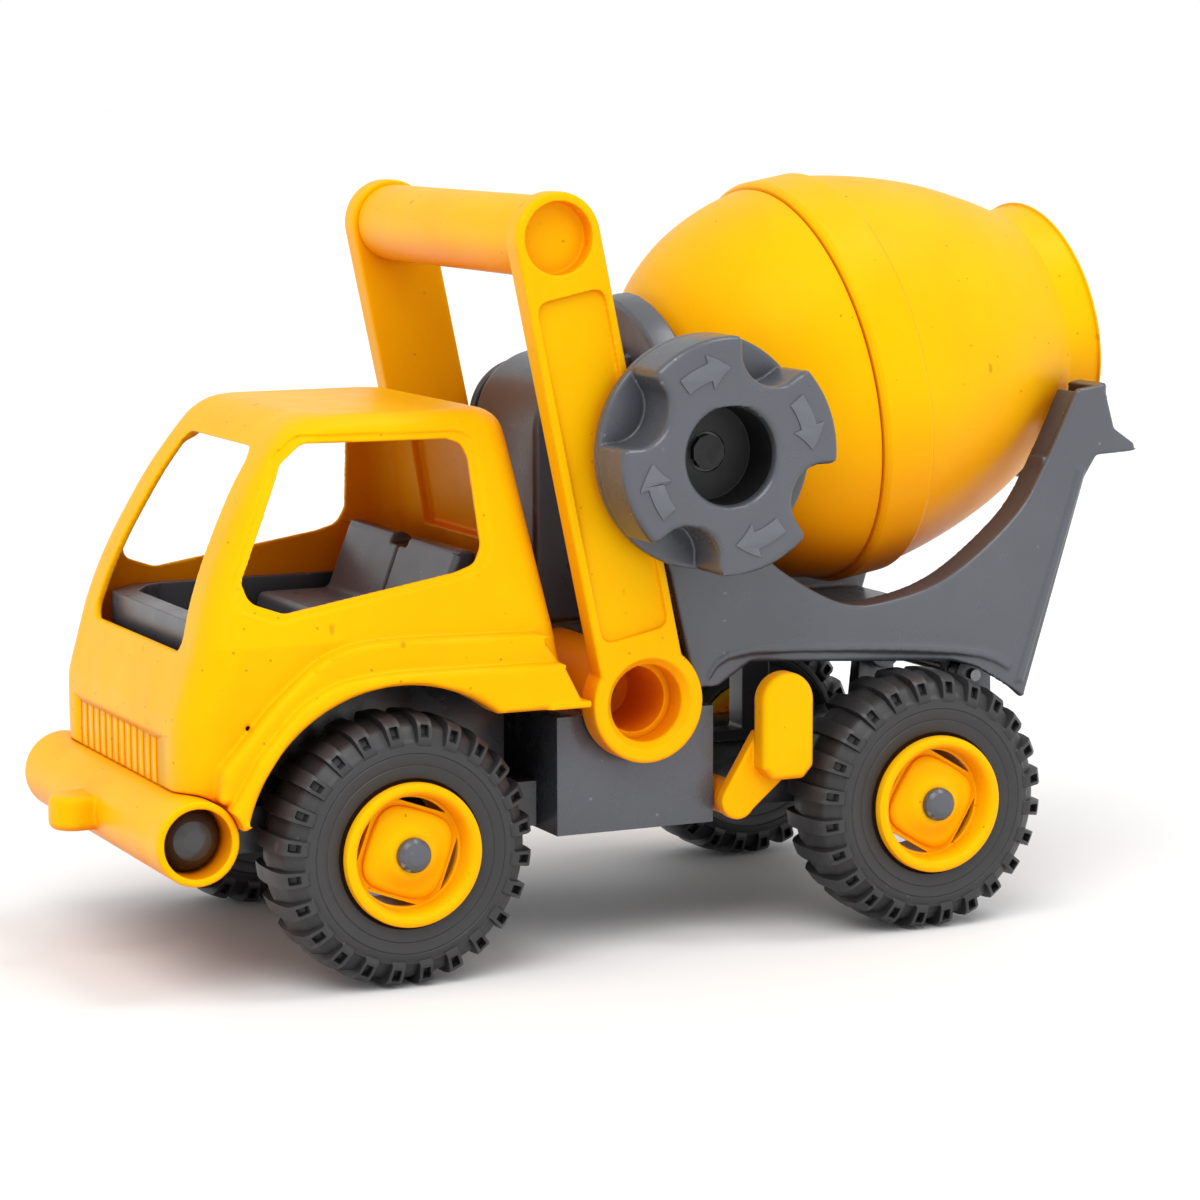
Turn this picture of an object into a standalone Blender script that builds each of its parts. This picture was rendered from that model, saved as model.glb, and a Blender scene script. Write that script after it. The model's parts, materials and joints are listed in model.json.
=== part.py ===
"""Toy cement mixer truck, built as separate plastic and steel pieces.

The truck drives towards -X. Its left side is -Y, where the hand crank sits. Sizes are in
millimetres in a truck frame with X measured from the front axle, Y from the middle plane and Z
from the ground, and every piece is placed through TRUCK, which moves that frame so that the
origin is the bottom centre of the whole toy. Blender's units are metres.
"""

import math

import bmesh
import bpy
from mathutils import Matrix, Vector

MM = 0.001
GAP = 0.3                     # play between neighbouring pieces
PRESS = 0.05                  # play between a shaft and what is pressed on it

# Wheels
WHEELBASE = 182.2
TYRE_RADIUS = 42.0
TYRE_INNER_Y = 49.0
TYRE_OUTER_Y = 78.7
RIM_RADIUS = 22.1
RIM_FACE_Y = 81.6
AXLE_RADIUS = 3.0
CAP_FACE_Y = 83.4

# Cab
CAB_FRONT_X = -66.4
CAB_WALL = 2.5
BELT_Z = 105.8
ROOF_Z = 173.0
FENDER_Y = 73.3
ARCH_RADIUS = 50.5
SKIRT_Z = 81.5
GRILLE_SLOTS = 11
GRILLE_PITCH = 7.6

# Bumper
BUMPER_X = -64.0
BUMPER_Z = 48.8
BUMPER_RADIUS = 13.0
BUMPER_HALF_LENGTH = 68.2
LUG_TIP_X = -89.3

# Carrying handle
GRIP_X, GRIP_Z = 52.9, 225.9
BOSS_X, BOSS_Z = 83.2, 80.7
ARM_HALF_WIDTH = 14.2
ARM_INNER_Y = 63.0
ARM_OUTER_Y = 71.6
BOSS_RADIUS = 18.8
BOSS_BORE = 12.2
CROSS_TUBE_RADIUS = 14.5

# Chassis
CHASSIS_HALF_WIDTH = 44.0
DECK_Z = 51.0
SIDE_BOX_LOW = (56.6, -60.2, 39.0)
SIDE_BOX_HIGH = (111.0, 60.2, 76.6)
CAB_POSTS = [(x, y) for x in (-34, 36) for y in (-32, 32)]

# Tipping cradle
HINGE_X, HINGE_Z = 221.0, 75.0
PIN_RADIUS = 2.0
PANEL_OUTER_Y = 62.0
PANEL = 3.0
FLOOR_Z = 90.5
LEVER_X, LEVER_Z = 117.5, 46.0
LEVER_SHAFT_RADIUS = 3.0
LIFT_LENGTH = 38.0
LIFT_ANGLE = math.radians(5)

# Crank and drum: both axes pass through the same point
CRANK_X, CRANK_Z = 98.7, 159.8
DRUM_TILT = math.radians(10.1)
DRUM_WALL = 2.2
DRUM_FRONT = 20.4
SEAM = 69.6
MOUTH_END = 169.0
COLLAR_RADIUS = 41.4
KNOB_RADIUS = 36.7
KNOB_FACE_Y = 97.8
KNOB_BACK_Y = 75.2
CROWN_TEETH = 30
PINION_TEETH = 10
PINION_PITCH = 8.0
CROWN_PITCH = PINION_PITCH * CROWN_TEETH / PINION_TEETH
SHAFT_RADIUS = 3.8

REAR_TIP_X = CRANK_X + MOUTH_END * math.cos(DRUM_TILT) + COLLAR_RADIUS * math.sin(DRUM_TILT)
CENTRE_X = (LUG_TIP_X + REAR_TIP_X) / 2
CENTRE_Y = (CAP_FACE_Y - KNOB_FACE_Y) / 2
TRUCK = Matrix.Translation(Vector((-CENTRE_X, -CENTRE_Y, 0)) * MM)

HOUSING_Y = (-3.0, 47.0)
HOUSING_FOOT_Z = 97.0

# Frame of the drum: local Z runs along the drum's axis to the mouth, local Y is the truck's Y
DRUM_FRAME = (Matrix.Translation(Vector((CRANK_X, 0, CRANK_Z)) * MM)
              @ Matrix.Rotation(math.pi / 2 - DRUM_TILT, 4, "Y"))


# ---------------------------------------------------------------- scene and materials

for old in list(bpy.data.objects):
    bpy.data.objects.remove(old, do_unlink=True)

PARTS = bpy.data.collections.new("toy_cement_mixer")
CUTTERS = bpy.data.collections.new("cutters")
bpy.context.scene.collection.children.link(PARTS)
bpy.context.scene.collection.children.link(CUTTERS)


def plastic(name, colour, roughness, metallic=0.0):
    material = bpy.data.materials.new(name)
    material.use_nodes = True
    shader = material.node_tree.nodes["Principled BSDF"]
    shader.inputs["Base Color"].default_value = (*colour, 1)
    shader.inputs["Roughness"].default_value = roughness
    shader.inputs["Metallic"].default_value = metallic
    material.diffuse_color = (*colour, 1)
    return material


YELLOW = plastic("yellow_plastic", (0.95, 0.52, 0.01), 0.4)
GRAY = plastic("gray_plastic", (0.12, 0.13, 0.15), 0.45)
BLACK = plastic("tyre_plastic", (0.05, 0.05, 0.053), 0.6)
STEEL = plastic("steel", (0.6, 0.6, 0.62), 0.3, 1.0)


# ---------------------------------------------------------------- shape helpers

def link(name, mesh, material=None, matrix=None):
    """Places a mesh in the truck frame; a piece with no material is a cutter or a joined part."""
    piece = bpy.data.objects.new(name, mesh)
    (PARTS if material else CUTTERS).objects.link(piece)
    piece.matrix_world = TRUCK @ (matrix or Matrix())
    if material:
        mesh.materials.append(material)
    else:
        piece.display_type = "WIRE"
        piece.hide_render = True
    return piece


def finish(name, bm, material=None, matrix=None, smooth=False):
    mesh = bpy.data.meshes.new(name)
    bm.to_mesh(mesh)
    bm.free()
    if smooth:
        mesh.shade_smooth()
        mesh.set_sharp_from_angle(angle=math.radians(35))
    return link(name, mesh, material, matrix)


def bevel(piece, width, segments=2, angle=35):
    modifier = piece.modifiers.new("edges", "BEVEL")
    modifier.width = width * MM
    modifier.segments = segments
    modifier.limit_method = "ANGLE"
    modifier.angle_limit = math.radians(angle)
    return piece


def running_bore(radius, segments=16):
    """Radius of a bore with that many sides, whose flats clear a turning shaft."""
    return (radius + PRESS) / math.cos(math.pi / segments)


def block(name, low, high, material=None, matrix=None):
    bm = bmesh.new()
    bmesh.ops.create_cube(bm, size=1)
    low, high = Vector(low) * MM, Vector(high) * MM
    size = high - low
    for vert in bm.verts:
        vert.co = Vector((vert.co.x * size.x, vert.co.y * size.y, vert.co.z * size.z)) + (low + high) / 2
    return finish(name, bm, material, matrix)


def rod(name, start, end, radius, material=None, end_radius=None, segments=24, matrix=None):
    start, end = Vector(start) * MM, Vector(end) * MM
    along = end - start
    bm = bmesh.new()
    bmesh.ops.create_cone(bm, cap_ends=True, segments=segments, radius1=radius * MM,
                          radius2=(radius if end_radius is None else end_radius) * MM, depth=along.length)
    turn = along.to_track_quat("Z", "Y").to_matrix().to_4x4()
    bmesh.ops.transform(bm, matrix=Matrix.Translation((start + end) / 2) @ turn, verts=bm.verts)
    return finish(name, bm, material, matrix, smooth=True)


def turned(name, profile, material=None, matrix=None, steps=40, closed=True):
    """Screw of a profile of (radius, height) points, outer side first and from top to bottom."""
    bm = bmesh.new()
    verts = [bm.verts.new((radius * MM, 0, height * MM)) for radius, height in profile]
    ends = verts[1:] + verts[:1] if closed else verts[1:]
    for first, second in zip(verts, ends):
        bm.edges.new((first, second))
    piece = finish(name, bm, material, matrix)
    screw = piece.modifiers.new("turn", "SCREW")
    screw.steps = steps
    screw.render_steps = steps
    screw.use_merge_vertices = True
    screw.merge_threshold = 0.00001
    screw.use_smooth_shade = True
    return piece


PLANES = {
    "XY": Matrix(),
    "XZ": Matrix.Rotation(math.pi / 2, 4, "X"),
    "YZ": Matrix(((0, 0, 1, 0), (1, 0, 0, 0), (0, 1, 0, 0), (0, 0, 0, 1))),
}


def plate(name, outline, low, high, material=None, plane="XZ", matrix=None):
    """A flat outline, extruded across its plane from low to high."""
    curve = bpy.data.curves.new(name, "CURVE")
    curve.dimensions = "2D"
    curve.fill_mode = "BOTH"
    curve.extrude = (high - low) / 2 * MM
    spline = curve.splines.new("POLY")
    spline.points.add(len(outline) - 1)
    for point, (across, up) in zip(spline.points, outline):
        point.co = (across * MM, up * MM, 0, 1)
    spline.use_cyclic_u = True
    guide = bpy.data.objects.new(name + "_outline", curve)
    CUTTERS.objects.link(guide)
    middle = (low + high) / 2 * MM * (-1 if plane == "XZ" else 1)
    guide.matrix_world = PLANES[plane] @ Matrix.Translation((0, 0, middle))
    bpy.context.view_layer.update()
    mesh = bpy.data.meshes.new_from_object(guide.evaluated_get(bpy.context.evaluated_depsgraph_get()))
    mesh.transform(guide.matrix_world)
    bpy.data.objects.remove(guide)
    bm = bmesh.new()
    bm.from_mesh(mesh)
    bmesh.ops.remove_doubles(bm, verts=bm.verts, dist=0.000001)
    bmesh.ops.recalc_face_normals(bm, faces=bm.faces)
    return finish(name, bm, material, matrix)


def arc(centre_x, centre_z, radius, start, end, count):
    """Points on a circle from one angle to another, both in degrees."""
    angles = [math.radians(start + (end - start) * i / count) for i in range(count + 1)]
    return [(centre_x + radius * math.cos(a), centre_z + radius * math.sin(a)) for a in angles]


def flowing(points, count=4):
    """A smooth curve through the points, as a chain with count steps between each two."""
    padded = [points[0]] + list(points) + [points[-1]]
    chain = []
    for before, start, end, after in zip(padded, padded[1:], padded[2:], padded[3:]):
        for i in range(count):
            t = i / count
            chain.append(tuple(0.5 * (2 * b + (c - a) * t + (2 * a - 5 * b + 4 * c - d) * t * t
                                      + (3 * b - a - 3 * c + d) * t ** 3)
                               for a, b, c, d in zip(before, start, end, after)))
    return chain + [points[-1]]


def boolean(piece, operation, *others):
    for other in others:
        modifier = piece.modifiers.new(other.name, "BOOLEAN")
        modifier.operation = operation
        modifier.solver = "EXACT"
        modifier.object = other
    return piece


def cut(piece, *others):
    return boolean(piece, "DIFFERENCE", *others)


def join(piece, *others):
    return boolean(piece, "UNION", *others)


def axis_frame(x, y, z, side):
    """Frame whose local Z points out of the truck on one side: -1 is left, 1 is right."""
    return Matrix.Translation(Vector((x, y, z)) * MM) @ Matrix.Rotation(-side * math.pi / 2, 4, "X")


def pivot(name, x, y, z, *children):
    """An empty on a joint's axis, which carries the pieces that turn about it."""
    empty = bpy.data.objects.new(name, None)
    PARTS.objects.link(empty)
    empty.empty_display_size = 0.01
    empty.matrix_world = TRUCK @ Matrix.Translation(Vector((x, y, z)) * MM)
    bpy.context.view_layer.update()
    for child in children:
        child.parent = empty
        child.matrix_parent_inverse = empty.matrix_world.inverted()
    return empty


SIDES = (("left", -1), ("right", 1))
AXLES = (("front", 0.0), ("rear", WHEELBASE))


# ---------------------------------------------------------------- chassis

def chassis_frame():
    """An inverted channel with side boxes, axle bosses, cab posts and hinge ears."""
    frame = block("chassis_frame", (-50, -CHASSIS_HALF_WIDTH, DECK_Z), (228, CHASSIS_HALF_WIDTH, DECK_Z + 3),
                  GRAY)
    for label, side in SIDES:
        inner, outer = sorted((side * (CHASSIS_HALF_WIDTH - PANEL), side * CHASSIS_HALF_WIDTH))
        join(frame, block("flange_" + label, (-50, inner, SIDE_BOX_LOW[2] + 0.6), (228, outer, DECK_Z + 1)))
        near, far = sorted((side * 36, side * 38.5))
        join(frame, block("arch_liner_" + label, (-44, near, DECK_Z + 1), (48, far, 92 - GAP)))
        for axle, x in AXLES:
            join(frame, rod("axle_boss_" + axle + label, (x, side * 34, TYRE_RADIUS),
                            (x, side * 47, TYRE_RADIUS), 8))
        near, far = sorted((side * 30, side * 36))
        join(frame, plate("hinge_ear_" + label,
                          [(212, DECK_Z + 1), (228, DECK_Z + 1)] + arc(HINGE_X, HINGE_Z, 6.5, 0, 180, 12),
                          near, far))
    side_box = block("side_box", SIDE_BOX_LOW, SIDE_BOX_HIGH)
    hollow = block("side_box_hollow", (SIDE_BOX_LOW[0] + PANEL, SIDE_BOX_LOW[1] + PANEL, SIDE_BOX_LOW[2] - 1),
                   (SIDE_BOX_HIGH[0] - PANEL, SIDE_BOX_HIGH[1] - PANEL, SIDE_BOX_HIGH[2] - PANEL))
    cut(side_box, hollow)
    join(frame, side_box)
    for number, (x, y) in enumerate(CAB_POSTS):
        join(frame, rod("cab_post_%d" % number, (x, y, DECK_Z + 1), (x, y, 92 - GAP), 6, segments=10))
    cut(frame, rod("tube_saddle", (BOSS_X, -70, BOSS_Z), (BOSS_X, 70, BOSS_Z), CROSS_TUBE_RADIUS + GAP))
    for axle, x in AXLES:
        cut(frame, rod("axle_bore_" + axle, (x, -60, TYRE_RADIUS), (x, 60, TYRE_RADIUS), AXLE_RADIUS + PRESS,
                       segments=16))
    cut(frame, rod("hinge_bore", (HINGE_X, -40, HINGE_Z), (HINGE_X, 40, HINGE_Z), PIN_RADIUS + PRESS,
                   segments=16))
    cut(frame, rod("lever_bore", (LEVER_X, -50, LEVER_Z), (LEVER_X, 50, LEVER_Z),
                   running_bore(LEVER_SHAFT_RADIUS), segments=16))
    cut(frame, block("lift_slot", (LEVER_X - 7, -8, DECK_Z - 2), (164, 8, DECK_Z + 5)))
    for number, (x, y) in enumerate(CAB_POSTS):
        cut(frame, rod("screw_hole_%d" % number, (x, y, 40), (x, y, 95), 1.9, segments=10))
    return frame


def cab_screws():
    for number, (x, y) in enumerate(CAB_POSTS, 1):
        screw = rod("cab_screw_%d" % number, (x, y, DECK_Z - 2.5), (x, y, DECK_Z - GAP), 3.6, STEEL,
                    segments=16)
        join(screw, rod("screw_shank_%d" % number, (x, y, DECK_Z - 1), (x, y, 89), 1.6, segments=10))


def axles():
    """Steel axles, with a round cap pressed on each end outside the hub."""
    for axle, x in AXLES:
        rod(axle + "_axle", (x, -80, TYRE_RADIUS), (x, 80, TYRE_RADIUS), AXLE_RADIUS, STEEL, segments=16)
        for label, side in SIDES:
            turned("axle_cap_%s_%s" % (axle, label),
                   [(0, CAP_FACE_Y), (3.4, 83.2), (4.9, 82.2), (5.4, 80.6), (5.4, 79.3),
                    (AXLE_RADIUS + PRESS, 79.3), (AXLE_RADIUS + PRESS, 80.6), (0, 80.6)],
                   GRAY, axis_frame(x, 0, TYRE_RADIUS, side), steps=16, closed=False)


def hinge_pin():
    rod("hinge_pin", (HINGE_X, -37.5, HINGE_Z), (HINGE_X, 37.5, HINGE_Z), PIN_RADIUS, STEEL, segments=16)


# ---------------------------------------------------------------- cab

CAB_FRONT = [(40, CAB_FRONT_X), (80, CAB_FRONT_X), (90, -64.4), (104, -60.2), (115, -57.0), (125, -53.2),
             (135, -48.5), (150, -40.4), (162, -32.2), (176, -21.7)]


def cab_section(height):
    """Front, rear and half width of the cab's outside at one height."""
    for (low, low_x), (high, high_x) in zip(CAB_FRONT, CAB_FRONT[1:]):
        if low <= height <= high:
            front = low_x + (high_x - low_x) * (height - low) / (high - low)
    rear = 55.6 - (height - BELT_Z) * (0.168 if height > BELT_Z else 0.226)
    half = 62 + (height - 50) * 0.052 if height < BELT_Z else 64.9 - (height - BELT_Z) * 0.226
    return front, rear, half


def cab_ring(height, inset, radius):
    """A rounded rectangle around the cab, as points in order."""
    front, rear, half = cab_section(height)
    front, rear, half = front + inset, rear - inset, half - inset
    corners = ((rear - 8, half - 8, 8, 0), (front + radius, half - radius, radius, 90),
               (front + radius, -half + radius, radius, 180), (rear - 8, -half + 8, 8, 270))
    ring = []
    for x, y, corner_radius, start in corners:
        ring += arc(x, y, corner_radius, start, start + 90, 6)
    return [(x, y, height) for x, y in ring]


def cab_solid(name, inset, bottom, material=None):
    """A solid lofted through rounded rectangles, inset all round by one wall for the inside."""
    levels = [(bottom, 0, 14), (80, 0, 14), (90, 0, 14), (104, 0, 14), (115, 0, 14), (125, 0, 13),
              (135, 0, 13), (150, 0, 12), (162, 0, 12), (169.5, 0.6, 12), (172, 2.4, 11), (ROOF_Z, 5, 10)]
    bm = bmesh.new()
    rings = []
    for height, shrink, radius in levels:
        ring = cab_ring(height, shrink + inset, radius)
        drop = inset if height > 160 else 0
        rings.append([bm.verts.new(Vector((x, y, z - drop)) * MM) for x, y, z in ring])
    for lower, upper in zip(rings, rings[1:]):
        for i in range(len(lower)):
            j = (i + 1) % len(lower)
            bm.faces.new((lower[i], lower[j], upper[j], upper[i]))
    bm.faces.new(rings[-1])
    bm.faces.new(rings[0][::-1])
    bmesh.ops.recalc_face_normals(bm, faces=bm.faces)
    return finish(name, bm, material, smooth=True)


def cab_shell():
    """An open-bottomed shell with fenders, windows and wheel arches."""
    cab = cab_solid("cab_shell", 0, 50, YELLOW)
    cut(cab, cab_solid("cab_inside", CAB_WALL, 40))
    cut(cab, block("below_cab", (-47, -80, 40), (70, 80, SKIRT_Z + 1)))
    cut(cab, plate("wheel_arch", arc(0, TYRE_RADIUS, ARCH_RADIUS + 1.5, -5, 185, 32), -90, 90))
    arch = arc(0, TYRE_RADIUS, ARCH_RADIUS, 168, 51.5, 20)
    lower_step = [(61.1, SKIRT_Z), (53, 96)]
    lower_step += flowing([(0, 96.6), (-18, 94.8), (-32, 88), (-46, 73)], 3) + [(-59.5, 50)]
    upper_step = [(56, 91), (46, 105)] + flowing([(1.2, 106), (-14, 105), (-26, 100), (-40, 88)], 3)
    upper_step += [(-56, 70), (-57, 60), (-53, 59.5)]
    upper_step += flowing([(-43, 71), (-30, 85), (-17, 91.5), (0, 93)], 2)
    for label, side in SIDES:
        for level, outline, reach, inner in (("upper", upper_step, 69.5, 60.7),
                                             ("lower", lower_step + arch, FENDER_Y, 59.5)):
            low, high = sorted((side * inner, side * reach))
            fender = plate("fender_%s_%s" % (level, label), outline, low, high)
            join(cab, bevel(fender, 1.2, 1))
    cut(cab, rod("bumper_seat", (BUMPER_X, -90, BUMPER_Z), (BUMPER_X, 90, BUMPER_Z), BUMPER_RADIUS + GAP))
    window = [(-22.4, 164.9), (-29.5, 158.9), (-45.8, 125), (-44.3, 119), (-38.5, 116), (22.5, 124.2),
              (29.5, 126.3), (32.1, 131.5), (30.6, 158), (28.8, 162.7), (24.5, 164.3)]
    cut(cab, plate("side_windows", window, -90, 90))
    screen = [(-40, 102.5), (40, 102.5), (42.5, 106), (31.5, 158.5), (28, 162.5), (-28, 162.5),
              (-31.5, 158.5), (-42.5, 106)]
    cut(cab, plate("windscreen", screen, -90, 0, plane="YZ"))
    for number in range(GRILLE_SLOTS):
        y = (number - (GRILLE_SLOTS - 1) / 2) * GRILLE_PITCH
        cut(cab, block("grille_slot_%d" % number, (CAB_FRONT_X - 1, y - 1.6, 60),
                       (CAB_FRONT_X + 1.1, y + 1.6, 76)))
    return cab


def cab_interior():
    """A gray tub for the cabin floor, and the bench that stands in it."""
    outline = [(-54, -44), (-44, -56.5), (-36, -58), (49, -58), (49, 58), (-36, 58), (-44, 56.5), (-54, 44)]
    tub = plate("cab_tub", outline, 92, 110.5, GRAY, plane="XY")
    hollow = [(-46, -40), (-39, -52), (-33, -55.5), (46.5, -55.5), (46.5, 55.5), (-33, 55.5), (-39, 52),
              (-46, 40)]
    cut(tub, plate("tub_hollow", hollow, 94.5, 113, plane="XY"))
    for number, (x, y) in enumerate(CAB_POSTS):
        cut(tub, rod("tub_hole_%d" % number, (x, y, 91), (x, y, 93.5), 1.0, segments=10))
    profile = [(-6, 94.8), (35, 94.8), (36, 127), (29, 129), (21, 107), (-3, 107)]
    seat = bevel(plate("bench_seat", profile, -46, 46, GRAY), 2, 2)
    cut(seat, block("seat_notch", (10, -7, 124), (40, 7, 131)))


# ---------------------------------------------------------------- bumper and handle

def bumper():
    tube = rod("front_bumper", (BUMPER_X, -BUMPER_HALF_LENGTH, BUMPER_Z),
               (BUMPER_X, BUMPER_HALF_LENGTH, BUMPER_Z), BUMPER_RADIUS, YELLOW, segments=24)
    outline = [(-66, -9)] + arc(LUG_TIP_X + 8, 0, 8, 270, 90, 8) + [(-66, 9)]
    lug = plate("tow_lug", outline, 43, 54, plane="XY")
    join(tube, bevel(lug, 1.5, 2))
    join(tube, block("bumper_bracket", (-60, -28, 40), (-50 - GAP, 28, 58)))
    for label, side in SIDES:
        cut(tube, rod("lamp_bore_" + label, (BUMPER_X, side * 52, BUMPER_Z),
                      (BUMPER_X, side * 75, BUMPER_Z), 10.6))
        turned("headlamp_" + label,
               [(0, 63.5), (4, 63.0), (7.6, 61.2), (9.6, 58.6), (10.2, 56), (10.2, 52.4), (0, 52.4)],
               GRAY, axis_frame(BUMPER_X, 0, BUMPER_Z, side), steps=20, closed=False)


def handle():
    """Two arms with a ring at the top and a bored boss at the bottom, and the tubes between them."""
    along = Vector((GRIP_X - BOSS_X, GRIP_Z - BOSS_Z))
    lean = math.degrees(math.atan2(along.y, along.x))
    stadium = arc(GRIP_X, GRIP_Z, ARM_HALF_WIDTH, lean - 90, lean + 90, 18)
    stadium += arc(BOSS_X, BOSS_Z, ARM_HALF_WIDTH, lean + 90, lean + 270, 10)
    unit = along.normalized()
    low_end = Vector((BOSS_X, BOSS_Z)) + unit * 24
    high_end = Vector((GRIP_X, GRIP_Z)) - unit * 19
    across = Vector((unit.y, -unit.x)) * (ARM_HALF_WIDTH - 2.6)
    recess = [tuple(corner) for corner in (low_end + across, high_end + across, high_end - across,
                                           low_end - across)]
    for label, side in SIDES:
        low, high = sorted((side * ARM_INNER_Y, side * ARM_OUTER_Y))
        arm = bevel(plate("handle_arm_" + label, stadium, low, high, YELLOW), 0.8, 2)
        join(arm, rod("boss_" + label, (BOSS_X, side * (SIDE_BOX_HIGH[1] + 0.4), BOSS_Z),
                      (BOSS_X, side * ARM_OUTER_Y, BOSS_Z), BOSS_RADIUS, segments=16))
        cut(arm, rod("boss_bore_" + label, (BOSS_X, side * 55, BOSS_Z), (BOSS_X, side * 80, BOSS_Z),
                     BOSS_BORE))
        cut(arm, rod("boss_mouth_" + label, (BOSS_X, side * (ARM_OUTER_Y - 2.4), BOSS_Z),
                     (BOSS_X, side * (ARM_OUTER_Y + 1), BOSS_Z), BOSS_BORE, end_radius=15))
        cut(arm, rod("ring_recess_" + label, (GRIP_X, side * (ARM_OUTER_Y - 4.5), GRIP_Z),
                     (GRIP_X, side * 80, GRIP_Z), 11))
        low, high = sorted((side * (ARM_OUTER_Y - 1.6), side * 80))
        cut(arm, plate("arm_recess_" + label, recess, low, high))
    rod("handle_grip_tube", (GRIP_X, -ARM_INNER_Y + GAP, GRIP_Z), (GRIP_X, ARM_INNER_Y - GAP, GRIP_Z), 12.6,
        YELLOW)
    half = SIDE_BOX_HIGH[1] + 0.4 - GAP
    cross = rod("handle_cross_tube", (BOSS_X, -half, BOSS_Z), (BOSS_X, half, BOSS_Z), CROSS_TUBE_RADIUS,
                YELLOW)
    for label, side in SIDES:
        cut(cross, rod("tube_bore_" + label, (BOSS_X, side * 34, BOSS_Z), (BOSS_X, side * 70, BOSS_Z), 10.4,
                       segments=16))
        rod("handle_screw_" + label, (BOSS_X, side * (34 + GAP), BOSS_Z), (BOSS_X, side * 37, BOSS_Z), 4.5,
            STEEL, segments=16)


# ---------------------------------------------------------------- wheels

def wheel(axle, x, label, side):
    """A rim with four crescent slots, and the tyre around it; heights run outwards along the axle."""
    place = axis_frame(x, 0, TYRE_RADIUS, side)
    bore = AXLE_RADIUS + PRESS
    rim = turned("rim_%s_%s" % (axle, label),
                 [(20.2, RIM_FACE_Y), (RIM_RADIUS, RIM_FACE_Y - 0.8), (RIM_RADIUS, 78.4), (20.4, 77.6),
                  (20.4, 52), (17.8, 52), (17.8, 69), (5, 69), (5, 52), (bore, 52), (bore, 79.0), (6.4, 79.0),
                  (7.2, 77.2), (12.2, 74.4), (17.8, 74.4), (18.6, 79.6)],
                 YELLOW, place, steps=20)
    for number in range(4):
        angle = math.radians(90 * number + (70 if axle == "front" else 59))
        centre = Vector((math.cos(angle), math.sin(angle), 0)) * 14.6
        slot = block("slot_%s_%s_%d" % (axle, label, number), (-1.6, -5.5, 66), (1.6, 5.5, 78), None,
                     place @ Matrix.Translation(centre * MM) @ Matrix.Rotation(angle, 4, "Z"))
        cut(rim, slot)
    tyre = turned("tyre_%s_%s" % (axle, label),
                  [(23.5, TYRE_OUTER_Y - 1.2), (30, TYRE_OUTER_Y), (40.4, TYRE_OUTER_Y - 0.8),
                   (TYRE_RADIUS, 75.8), (TYRE_RADIUS, 54), (38.5, TYRE_INNER_Y), (23.5, TYRE_INNER_Y),
                   (20.4 + GAP, 52), (20.4 + GAP, 77.2), (RIM_RADIUS + GAP, 78.2)],
                  BLACK, place, steps=32)
    return rim, tyre


# ---------------------------------------------------------------- cradle

PANEL_SWEEP = [(133.7, 119.2), (157.2, 106.5), (177.4, 106.9), (197.8, 113.7), (220.1, 130.6), (231.3, 146.4),
               (244.3, 172)]


def cradle_outline():
    """Outline of a side panel: bearing tower, sweep under the drum, rear lip and lower edge."""
    tower = arc(CRANK_X, CRANK_Z, 19.5, 185, -5, 14)
    rear_lip = [(254.5, 173.3), (258.8, 158.5), (267, 152.9), (266, 150.6), (252, 149.9), (247.4, 142.8)]
    lower_edge = [(224.8, 70.3), (217.5, 76.6), (209, 81.5), (198.2, 84.8), (123.8, 89.8), (112.4, 82.8)]
    sweep = flowing([(124, 130)] + PANEL_SWEEP, 3)
    return [(103.6, 82.8), (94.8, 120)] + tower + sweep + rear_lip + lower_edge


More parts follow.
